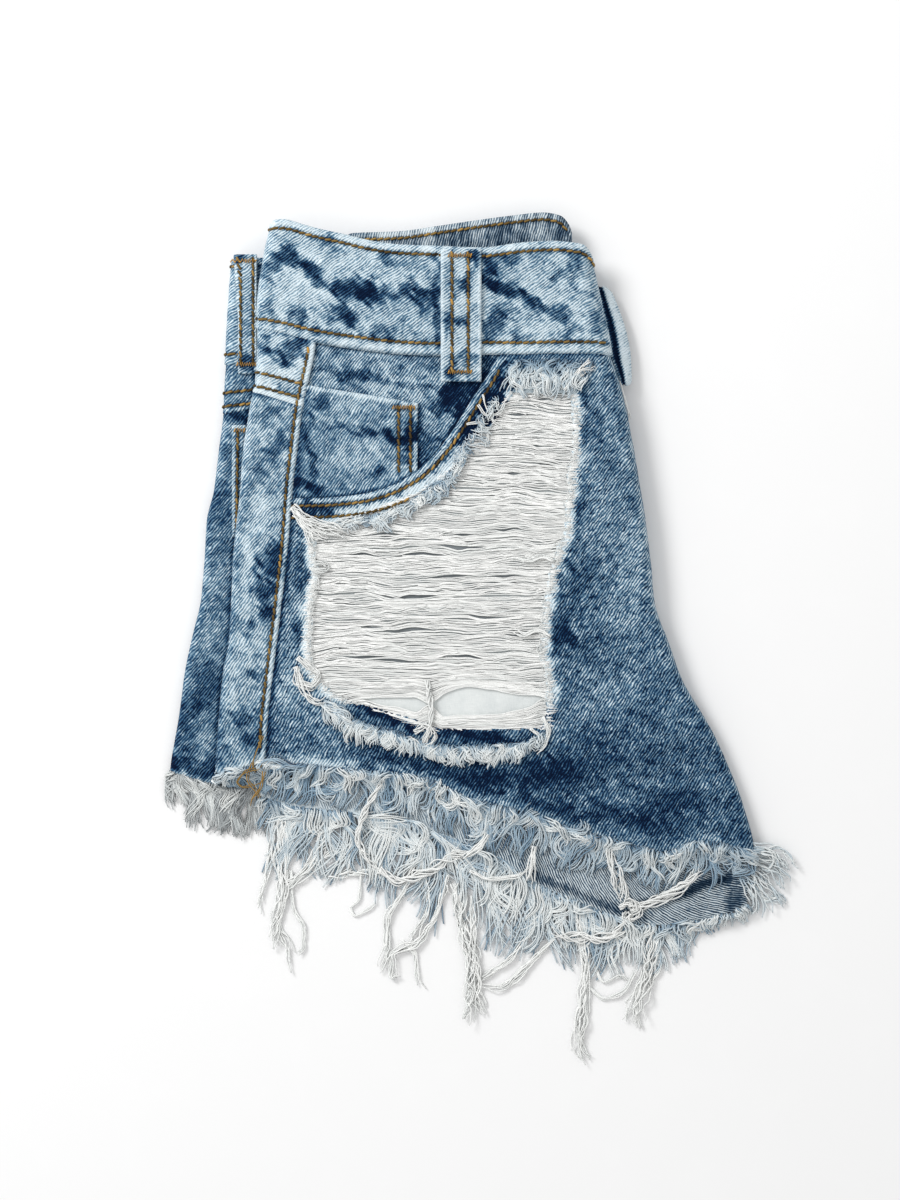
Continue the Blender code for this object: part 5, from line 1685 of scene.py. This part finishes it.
# Gold thread ends that hang from the side seam: x, y and how far they stand over the cloth.
SEAM_THREADS = [
    [(-102.6, -45, 0.4), (-103.3, -47.1, 0.6), (-105.7, -52.9, 0.8), (-107.6, -59, 1.2), (-106, -64, 1.6)],
    [(-103, -57.5, 0.8), (-105.2, -60.5, 1.4), (-111.4, -62.4, 2), (-115.2, -67.1, 1.6), (-112.4, -69.5, 1.8),
     (-105.2, -67.1, 2), (-102, -64, 1.4)],
    [(-102.4, -62, 1.2), (-103.3, -68.6, 2), (-108.1, -75.7, 1.6), (-109, -79, 1)],
    [(-108, -58, 0.8), (-110, -65, 1.4), (-106, -71, 2), (-104, -76, 1.6)],
]


def build_stitches(finish):
    """Rows of golden brown stitches along the seams, and the bar tacks."""
    threads = Threads(7)
    for made in SEAMS.values():
        for row in made["rows"]:
            sew(
                threads, made["place"], beside(made["line"], row),
                lambda x, y: made["level"] + unevenness(x, y) * 0.6 - 0.05,
            )
    for _, place, loop, lifts, rows in LOOPS:
        height = abs(loop["top"] - loop["bottom"])
        level = lambda x, y: LOOP + np.interp((loop["top"] - y) / height, *np.transpose(lifts))
        for x in rows:
            sew(threads, place, points_on(straight(x, loop["top"] - 1, x, loop["bottom"] + 1), 30), level)
        for y in (loop["top"] - 2.6, loop["bottom"] + 4):
            bar_tack(threads, place, (min(rows) - 1.8, max(rows) + 1.6), y, level)
    bar_tack(threads, upper, (-41, -30.4), 110.8, lambda x, y: DENIM + 0 * x)
    bar_tack(threads, lower, (-116.6, -111.4), 100.4, lambda x, y: 2.7 + 0 * x)
    for points in SEAM_THREADS:
        bunch(threads, [upper(x, y, FELLED + over) for x, y, over in points], 2, 1.4, 0.72, 0.34, loose=0.2)
    threads.build("topstitching", finish)


def bar_tack(threads, place, ends, y, level):
    """A dense zigzag of thread across a belt loop's end or a pocket's corner."""
    left, right = ends
    count = int((right - left) / 0.5)
    x = np.linspace(left, right, count)
    swing = TACK_WIDTH * np.where(np.arange(count) % 2, 0.5, -0.5)
    zigzag = y + swing + 0.15 * threads.rng.standard_normal(count)
    points = place(x, zigzag, level(x, zigzag) + 0.5)
    threads.add(points[None], 0.36, 0.98 + 0.12 * threads.rng.standard_normal((1, count)), 4, 0.2)


def parted(x, row, own):
    """Where the rip's threads run: their rows, waved, and pushed apart at the slits and the gaps."""
    y = row + 1.5 * noise(x, own, 26, 161) + 1.2 * noise(x, 1.6 * own, 12, 162)
    y = y + 0.55 * noise(x, 3 * own, 5.5, 163) + 0.16 * noise(x, 9 * own, 2.4, 164)
    for at_x, at_y, length, opening in SLITS:
        side = np.where(own > at_y, 1, -1)
        y = y + 0.68 * side * opening * bell(x - at_x, length) * np.exp(-np.abs(own - at_y) / 1.6)
    for gap in GAPS.values():
        top, bottom = smooth(gap, 1), smooth(gap, 2)
        first, last = gap[0][0], gap[-1][0]
        here = rise((x - first + 4) / 8) * rise((last + 4 - x) / 8)
        centre = (first + last) / 2
        side = np.where(own > (top(centre) + bottom(centre)) / 2, 1, -1)
        middle = (top(x) + bottom(x)) / 2
        away = np.maximum(side * (y - middle), 0)
        half = (top(x) - bottom(x)) / 2
        y = y * (1 - here) + (middle + side * (away + half * np.exp(-away / 9))) * here
    return y


def build_wefts(finish):
    """The white threads left across the rip, parted by slits and by the two open gaps."""
    threads = Threads(11)
    rng = threads.rng
    t = np.linspace(0, 1, 58)[None, :]
    rows = np.arange(RIP[-1][0] + 0.2, RIP[0][0], WEFT_PITCH)
    rows = (rows + 0.12 * rng.standard_normal(len(rows)))[:, None]
    left = rip_left(rows) - rng.uniform(1, 5.4, rows.shape) * (1 - 0.8 * rise((rows - 60) / 20))
    right = rip_right(rows) + rng.uniform(1, 5.4, rows.shape)
    loose = 190
    strays = rng.uniform(RIP[-1][0] + 4, RIP[0][0] - 1, (loose, 1))
    stray_left = rip_left(strays) - 2
    span = rip_right(strays) + 2 - stray_left
    start = rng.uniform(-0.45, 0.8, (loose, 1))
    end = start + rng.uniform(0.25, 0.8, (loose, 1))
    stray = np.concatenate([0 * rows, np.ones((loose, 1))])
    rows = np.concatenate([rows, strays])
    left = np.concatenate([left, stray_left + np.clip(start, 0, 0.9) * span])
    right = np.concatenate([right, stray_left + np.clip(end, 0.1, 1) * span])
    tilt = stray * rng.uniform(-2.2, 2.2, rows.shape)
    x = left + (right - left) * t
    y = parted(x, rows + tilt * (t - 0.5) + stray * 1.1 * noise(x, 9 * rows, 9, 168), rows)
    inside = np.minimum(x - rip_left(y), rip_right(y) - x)
    over = rise((0.8 - inside) / 1.6)
    lift = 0.42 + 0.2 * noise(x, 9 * rows, 12, 165) + 0.16 * rng.standard_normal(rows.shape) + 0.3 * stray
    on_cloth = DENIM + 0.3 + 0.15 * noise(x, 9 * rows, 3, 169) - 0.5 * np.clip(-inside / 5, 0, 1)
    lift = np.clip(lift, 0.1, 1) * (1 - over) + on_cloth * over
    tint = 1.07 + 0.12 * rng.standard_normal(rows.shape) + 0.1 * noise(x, rows, 9, 166)
    threads.add(upper(x, y, lift), 0.33 + 0.06 * noise(x, 4 * rows, 3, 167), tint, shaded=0.38)
    threads.build("rip_weft_threads", finish, "rip_threads")


# The hems' locks, layer by layer: share is the part of the reach that their threads hang.
UPPER_LOCKS = [
    # count, threads, share of the reach, width, bend, curl, lift, tint
    (62, 8, 1, 6.4, 0.9, 0.7, 1, 0.56),
    (62, 8, 0.82, 6, 1.5, 1, 2.2, 0.78),
    (50, 8, 0.54, 5.4, 2.2, 1.2, 3.2, 0.96),
]
LOWER_LOCKS = [
    (56, 8, 1.08, 6.6, 0.6, 0.5, 1, 0.82),
    (52, 8, 0.92, 6.2, 1, 0.8, 2, 0.95),
    (40, 8, 0.6, 6, 1.7, 1, 2.8, 1.02),
]
LEFT_LOCKS = [
    (24, 9, 1, 4, 0.4, 0.4, 0.7, 0.26),
    (22, 9, 0.92, 4, 0.6, 0.5, 1.4, 0.46),
    (16, 8, 0.6, 4, 1, 0.8, 2, 0.66),
]
HEM_BUNCHES = [
    # strands, width, twist, points
    (9, 6, 0, [(-94, -86), (-96, -103), (-93.8, -119), (-97, -133), (-98.5, -148)]),
    (5, 3, 0, [(-98, -88), (-100.4, -108), (-105, -127.5), (-103.8, -135)]),
    (7, 3.6, 0, [(-92.3, -92), (-93, -120), (-96, -137), (-91.4, -147), (-89, -160)]),
    (5, 2.2, 0, [(-90, -110), (-88.6, -128.5), (-83.8, -138), (-83.9, -147), (-87, -151)]),
    (10, 5, 0, [(-92, -117), (-85, -112), (-79, -105), (-75, -96), (-72, -88)]),
    (7, 2.6, 0.3, [(-74, -104), (-69, -99.8), (-62.5, -102), (-61.5, -109), (-67, -112.5), (-71.5, -108)]),
    (6, 2.6, 0.3, [(-72, -113), (-62, -112.5), (-54, -110), (-45.7, -109)]),
    (7, 2.6, 0.4,
     [(-45.7, -66.6, 8), (-53.3, -79.5, 7), (-57.6, -92.3, 5), (-54.3, -103.3, 4), (-45.7, -110.5, 3)]),
    (10, 4.2, 0.3,
     [(-47.7, -109.5, 3), (-37.6, -114.8, 3), (-24.8, -110.5, 3), (-9, -101, 4), (0.5, -95.2, 5)]),
    (3, 1.2, 0,
     [(-56.7, -110.1), (-57.6, -123.8), (-61.4, -128.1), (-59, -132), (-51.9, -128.1), (-47.1, -122.7)]),
    (8, 3.4, 0, [(-31, -104), (-35, -118), (-43.3, -133.2), (-43.8, -145.7), (-47.1, -155.2), (-48.1, -160)]),
    (9, 4, 0, [(-15, -112), (-20, -130), (-30.3, -145), (-41.4, -151.9), (-41.4, -161.5), (-35.2, -161)]),
    (5, 2.2, 0, [(-36.9, -143.1), (-30.5, -150.9), (-29.5, -161.4), (-25.7, -167.2)]),
    (6, 3.4, 0, [(-27, -112), (-24, -126), (-30, -140), (-34, -149)]),
    (14, 8, 0, [(-11, -116), (-7.7, -134.6), (-3.3, -156), (-2.9, -171), (-6.7, -186.2)]),
    (8, 5, 0, [(-3, -122), (-2, -146), (0, -168), (3.8, -182.9)]),
    (6, 2.6, 0, [(36.4, -142.5), (22, -156.1), (8.6, -166.2), (-0.5, -164.8)]),
    (6, 3, 0, [(26.3, -137.7), (15.3, -152.2), (3.8, -161), (-4, -166)]),
    (4, 1.8, 0, [(31, -148.3), (19.5, -161.4), (10.4, -168.1)]),
    (12, 5.6, 0, [(46.5, -130.6), (51.4, -158.8), (49, -178.5), (48.1, -193.3), (51.4, -203)]),
    (4, 2, 0, [(52.4, -150), (52, -178), (50, -191), (54.6, -202)]),
    (4, 1.8, 0, [(51.9, -165.6), (60.4, -171.5), (69.5, -168.2), (75, -156)]),
    (4, 1.6, 0, [(55, -155), (60, -163.5), (68, -160), (76, -166)]),
    (13, 8, 0, [(83.4, -138.9), (81, -160.8), (76, -174), (72.9, -184.8)]),
    (5, 3.4, 0, [(79, -158), (75, -175), (77.5, -186.5)]),
    (4, 1.8, 0, [(84, -145), (86.5, -157), (82, -165)]),
    (13, 5.6, 0.15, [(61.4, -97.5, 7), (66.1, -110.4, 6), (68.6, -120.9, 5), (70.5, -128.1, 5)]),
    (12, 4.4, 0.2,
     [(71.9, -127.6, 5), (82.9, -124.3, 5), (94.3, -120, 6), (100.5, -115.2, 7), (106.2, -107, 8)]),
    (10, 4, 0.3, [(71.9, -130, 5), (68, -137.6, 4), (56.2, -142.6, 4), (43.3, -141.4, 4), (34, -138, 4)]),
    (7, 3.4, 0.6, [(67, -127.5, 6), (71.5, -125, 6), (76, -129, 6), (72, -133.5, 6), (67.5, -130, 6)]),
    (4, 1.6, 0, [(-4.3, -109.5, 5), (5.2, -113.8, 5), (18.1, -112.4, 5), (26, -105, 6)]),
    (8, 3.4, 0, [(26.7, -98, 7), (25, -107, 6), (24.3, -116.2, 5)]),
    (8, 3.2, 0, [(4, -92, 6), (0, -98, 6), (-8, -104, 5)]),
]
CORNER_BUNCHES = [
    (16, 9, 0, [(120, -97, 5), (132, -100, 4), (143, -103, 2), (149.5, -112, 1)]),
    (14, 8, 0, [(118, -102, 5), (131, -106, 3), (141, -111, 2), (147, -119, 1)]),
    (12, 7, 0, [(121, -107, 4), (131, -113, 2), (138.6, -120.3, 1), (145, -127, 1)]),
    (10, 6, 0, [(124, -110, 3), (130, -119, 2), (134, -127, 1), (131.5, -132, 1)]),
    (6, 2.6, 0, [(130, -116, 2), (138, -124, 1), (143.5, -123, 1), (147, -127, 1)]),
    (5, 3, 0, [(126, -100, 6), (136, -99, 5), (142, -104, 4), (138, -110, 3), (130, -108, 4)]),
]


def bunches(threads, rows, tint, root=0):
    """The bunches of a table."""
    for strands, width, twist, points in rows:
        bunch(threads, points, strands, width, tint, twist=twist, root=root)


def fringe(threads, layers, line, reach, level, aim, steps, radius=THREAD):
    """Layers of frayed locks along a hem. Aim is how far they turn from straight down the garment."""
    for layer in layers:
        locks(threads, line, layer, reach, lambda x: -math.pi / 2 + aim(x), level, steps, radius)


def build_upper_fringe(finish):
    """The frayed hem of the upper half."""
    threads = Threads(21)

    def floor(x, y):
        """What the threads sink to: the inner back hem, or the surface past it."""
        over = rise((y - inner_hem(x) + 2) / 5)
        left = rise((x + 106) / 4)
        cloth = lower_level(y) + DENIM + 0.35
        strip = np.where(y > lower_hem(x), cloth, 1)
        return (cloth * over + 1.2 * (1 - over)) * left + strip * (1 - left)

    def aim(x):
        """Swept to the left beside the side seam and to the right at the corner."""
        return 0.9 * rise((x - 116) / 14) - 0.9 * rise((x + 106) / 8) * rise((-72 - x) / 14)

    line = points_on(across(upper_hem, -124, 131), 200)
    fringe(threads, UPPER_LOCKS, line, smooth(UPPER_REACH, 1), sinking(upper, upper_hem, floor, 9), aim, 11)
    bunches(threads, CORNER_BUNCHES, 0.96, 0.5)
    threads.build("upper_hem_fringe", finish, "fringe_upper_hem")


def build_lower_fringe(finish, white):
    """The long frayed hem of the inner layer, and its white thread bunches."""
    threads = Threads(31)
    line = points_on(across(inner_hem, -103, 128), 200)
    level = sinking(lower, inner_hem, on_the_floor, 8)
    fringe(threads, LOWER_LOCKS, line, smooth(INNER_REACH, 1), level, always(0.1), 16)
    threads.build("lower_hem_fringe", finish, "fringe_lower_hem")
    threads = Threads(32)
    bunches(threads, HEM_BUNCHES, 0.9)
    threads.build("hem_thread_bunches", white)


def build_left_fringe(finish):
    """The frayed hem of the left strip."""
    threads = Threads(41)
    reach = smooth(LOWER_REACH, 1)
    line = points_on(across(lower_hem, -150, -103), 80)
    level = sinking(lower, lower_hem, on_the_floor, 6)
    fringe(threads, LEFT_LOCKS, line, lambda x: reach(np.clip(x, -148, -106)), level, always(0.06), 12, 0.36)
    bunch(threads, [(-109.5, -70, 6), (-112.5, -76, 5.5), (-117.6, -85.2, 4)], 8, 6, 0.12)
    threads.build("left_hem_fringe", finish, "fringe_left_hem")


def build_rip_frays(finish):
    """The frayed edges of the rip, and the hooked threads below the pocket's stitching."""
    level = lambda x, y, lift: upper(x, y, DENIM + 0.25 + lift)
    down_leg = always(-math.pi / 2)
    for name, node, rows, seed, bend, curl, lower_rows in (
        ("rip_top_fray", "rip_fray_top", RIP_FRAY_TOP, 51, 1.7, 1.3, (0, -3, -6.5)),
        ("rip_lip_fray", "rip_fray_bottom", RIP_FRAY_BOTTOM, 52, 1, 1.2, (0, -0.8, -1.6)),
    ):
        threads = Threads(seed)
        reach = smooth(rows, 2)
        line = np.array(rows)[:, :2]
        count = int(line_length(path(line)) * FRAY_LOCKS)
        for down_by, share, lift, tint in zip(lower_rows, (0.9, 1, 1), (0.6, 1.2, 2), (0.7, 0.9, 1.02)):
            layer = (count, 8, share, 4.2, bend, curl, lift, tint)
            locks(threads, line + (0, down_by), layer, reach, down_leg, level, 12, 0.38)
        if name == "rip_top_fray":
            hooks = beside(POCKET_CURVE, -10.4)
            hooks = hooks[(hooks[:, 0] > -64) & (hooks[:, 0] < -4)]
            for size, layer in (
                (10.5, (32, 7, 1, 3.6, 2, 1.4, 0.5, 0.78)),
                (7, (28, 6, 1, 3.6, 2, 1.4, 1.3, 0.98)),
            ):
                locks(
                    threads, hooks, layer, lambda x: size + 3 * noise(x, 3 * x, 6, 175),
                    lambda x: -1.9 - 0.5 * rise((x + 20) / 30), level, 12, 0.36,
                )
            corner = beside(POCKET_CURVE, -7)
            corner = corner[(corner[:, 0] > -10) & (corner[:, 0] < 8)]
            for layer in ((9, 3, 11, 2, 1.6, 1.2, 1.2, 0.9), (8, 3, 8, 2, 1.6, 1.2, 1.2, 1.05)):
                locks(threads, corner, layer, always(1), always(-0.9), level, 12, 0.3)
        threads.build(name, finish, node)


RIP_BUNCHES = [
    # strands, width, twist, points
    (14, 6, 0, [(-89, 63.5), (-85, 60), (-79, 56.5), (-71, 54), (-61, 52)]),
    (9, 5, 0, [(-87, 60.5), (-84, 56), (-78, 51.5), (-71, 48.5)]),
    (4, 2.6, 0, [(-88, 62), (-83, 55), (-80, 47), (-77, 42)]),
    (5, 2, 0.4, [(-80, 51.5), (-77.5, 48.5), (-74, 50.5), (-76.5, 54), (-80.5, 52)]),
    (5, 2, 0.4, [(-80.5, 35.2), (-76.5, 33.4), (-72, 34.2), (-74, 37), (-79, 36.2)]),
    (9, 3, 0.3, [(-86, -7.5), (-81, -12), (-76.5, -16.5), (-80, -22), (-86.5, -20), (-84, -12)]),
    (8, 3.4, 0, [(-87, -12), (-83, -24), (-76, -29), (-70, -27)]),
    (5, 1.8, 0.4, [(24.5, -41.5), (28, -44.5), (30, -48), (26.5, -50), (24, -46)]),
    (7, 2.4, 0, [(30, -36), (33, -42), (31.5, -50), (27, -54)]),
    (8, 2, 0.5, [(-24.8, -18.6), (-23.5, -27), (-22.4, -33), (-25.5, -46.7), (-29, -54)]),
    (6, 3.4, 0.4, [(-31, -43), (-26, -40.5), (-21.5, -45), (-26, -51), (-32, -48), (-37, -53)]),
    (10, 4.4, 0, [(40, 119), (45, 124), (49, 128.5), (54.5, 133)]),
    (2, 1, 0, [(1.5, 116.8), (3.4, 111), (6.4, 105), (13, 100)]),
    (2, 1, 0, [(-0.6, 112), (4, 107), (9, 108), (14, 116)]),
    (2, 1, 0, [(-6, 103), (-1, 103.6), (4, 99), (3, 91)]),
    (6, 2.6, 0, [(35.5, 38), (30, 40), (24, 38.6), (18, 39.4)]),
    (5, 2, 0, [(34, 2), (28, 5), (21, 3), (15, 6)]),
]


def build_edge_fuzz(finish):
    """Short fuzz along the rip's sides, curls and knots of thread, and a thread end at the back loop."""
    threads = Threads(61)
    rng = threads.rng
    count = 260
    for edge, side, top, way in ((rip_right, 1, 116, 0), (rip_left, -1, 52, math.pi)):
        y = rng.uniform(-30, top, count)
        roots = np.stack([edge(y) + side * rng.uniform(-2, 0.6, count), y], axis=-1)
        aim = way + 0.6 * rng.standard_normal(count)
        hang = rng.uniform(1.5, 4.6, count)
        bend = 1.2 * rng.standard_normal(count)
        flat = wander(rng, roots, aim, hang, bend, rng.uniform(0.3, 1.2, count), 7)
        paths = upper(flat[..., 0], flat[..., 1], DENIM + 0.1 + rng.uniform(0, 0.5, (count, 1)))
        threads.add(paths, 0.18, 0.8 + 0.1 * rng.standard_normal((count, 1)))
    for strands, width, twist, points in RIP_BUNCHES:
        bunch(threads, [upper(x, y, DENIM + 0.8) for x, y in points], strands, width, 0.85, 0.36, twist=twist)
    bunch(threads, [(67, 124, 9), (68.6, 119, 8), (71, 110, 6.6), (72.4, 102, 5.6)], 3, 1.2, 1)
    threads.build("rip_edge_fuzz", finish)


def build_studio():
    """The pale floor, the light and the camera, straight above as in the photograph."""
    scene = bpy.context.scene
    scene.view_settings.view_transform = "Standard"
    mesh = bpy.data.meshes.new("floor")
    mesh.from_pydata([(-3, -3, 0), (3, -3, 0), (3, 3, 0), (-3, 3, 0)], [], [(0, 1, 2, 3)])
    graph = Graph("studio_floor", 0.9, 0)
    grain = graph.grain(graph.add("ShaderNodeTexCoord", {}, "Object"), 40)
    shade = graph.ramp(grain, [(0, (243, 243, 243)), (1, (246, 246, 246))])
    mesh.materials.append(graph.finish(shade, grain, 0.01))
    placed("floor", mesh)
    world = bpy.data.worlds.new("studio")
    world.use_nodes = True
    background = world.node_tree.nodes["Background"]
    background.inputs["Color"].default_value = (1, 1, 1, 1)
    background.inputs["Strength"].default_value = WORLD_LIGHT
    scene.world = world
    lamp = bpy.data.lights.new("key", "AREA")
    lamp.shape = "DISK"
    lamp.size = 0.55
    lamp.energy = KEY_LIGHT
    placed("key", lamp, KEY_PLACE).rotation_euler = (-Vector(KEY_PLACE)).to_track_quat("-Z", "Y").to_euler()
    camera = bpy.data.cameras.new("camera")
    camera.lens = CAMERA["lens"]
    scene.camera = placed("camera", camera, CAMERA["place"])


DENIMS = (
    # name, angle of the twill, its spacing, ramp, how strong the twill is, scratches, crackle
    ("front_finish", 51, 1.22, DENIM_RAMP, 0.27, 0.9, 1.9),
    ("back_finish", 50, 1.18, DENIM_RAMP, 0.23, 0.5, 0.9),
    ("band_finish", 36, 1.22, DENIM_RAMP, 0.23, 0.5, 0.9),
    ("coin_finish", 53, 1.2, DENIM_RAMP, 0.23, 0.5, 0.6),
    ("facing_finish", 52, 1.18, DENIM_RAMP, 0.26, 1.2, 0.8),
    ("inside_finish", 75, 1.16, INNER_RAMP),
    ("hem_finish", 0, 1.06, INNER_RAMP, 0.5),
)


def main():
    """Build every piece in the place of its solid."""
    front, back, band, coin, facing, inner, hem = (denim("denim_" + name, *rest) for name, *rest in DENIMS)
    weft = cotton("weft_finish", WHITE_RAMP, sheen=0.6)
    frayed = cotton("frayed_finish", THREAD_RAMP)
    build_layers(back)
    side_loop = build_loops(band)
    build_left(back, band, side_loop)
    build_back_hem(hem)
    build_back(back, band)
    build_pocket(facing, coin, plain_weave("pocketing_finish", WHITE_RAMP))
    build_front(front)
    build_waistband(band, inner)
    build_stitches(cotton("topstitch_finish", STITCH_RAMP, sheen=0.1, size=0.4))
    build_wefts(weft)
    build_rip_frays(frayed)
    build_edge_fuzz(weft)
    build_upper_fringe(frayed)
    build_lower_fringe(frayed, weft)
    build_left_fringe(weft)
    build_studio()


main()
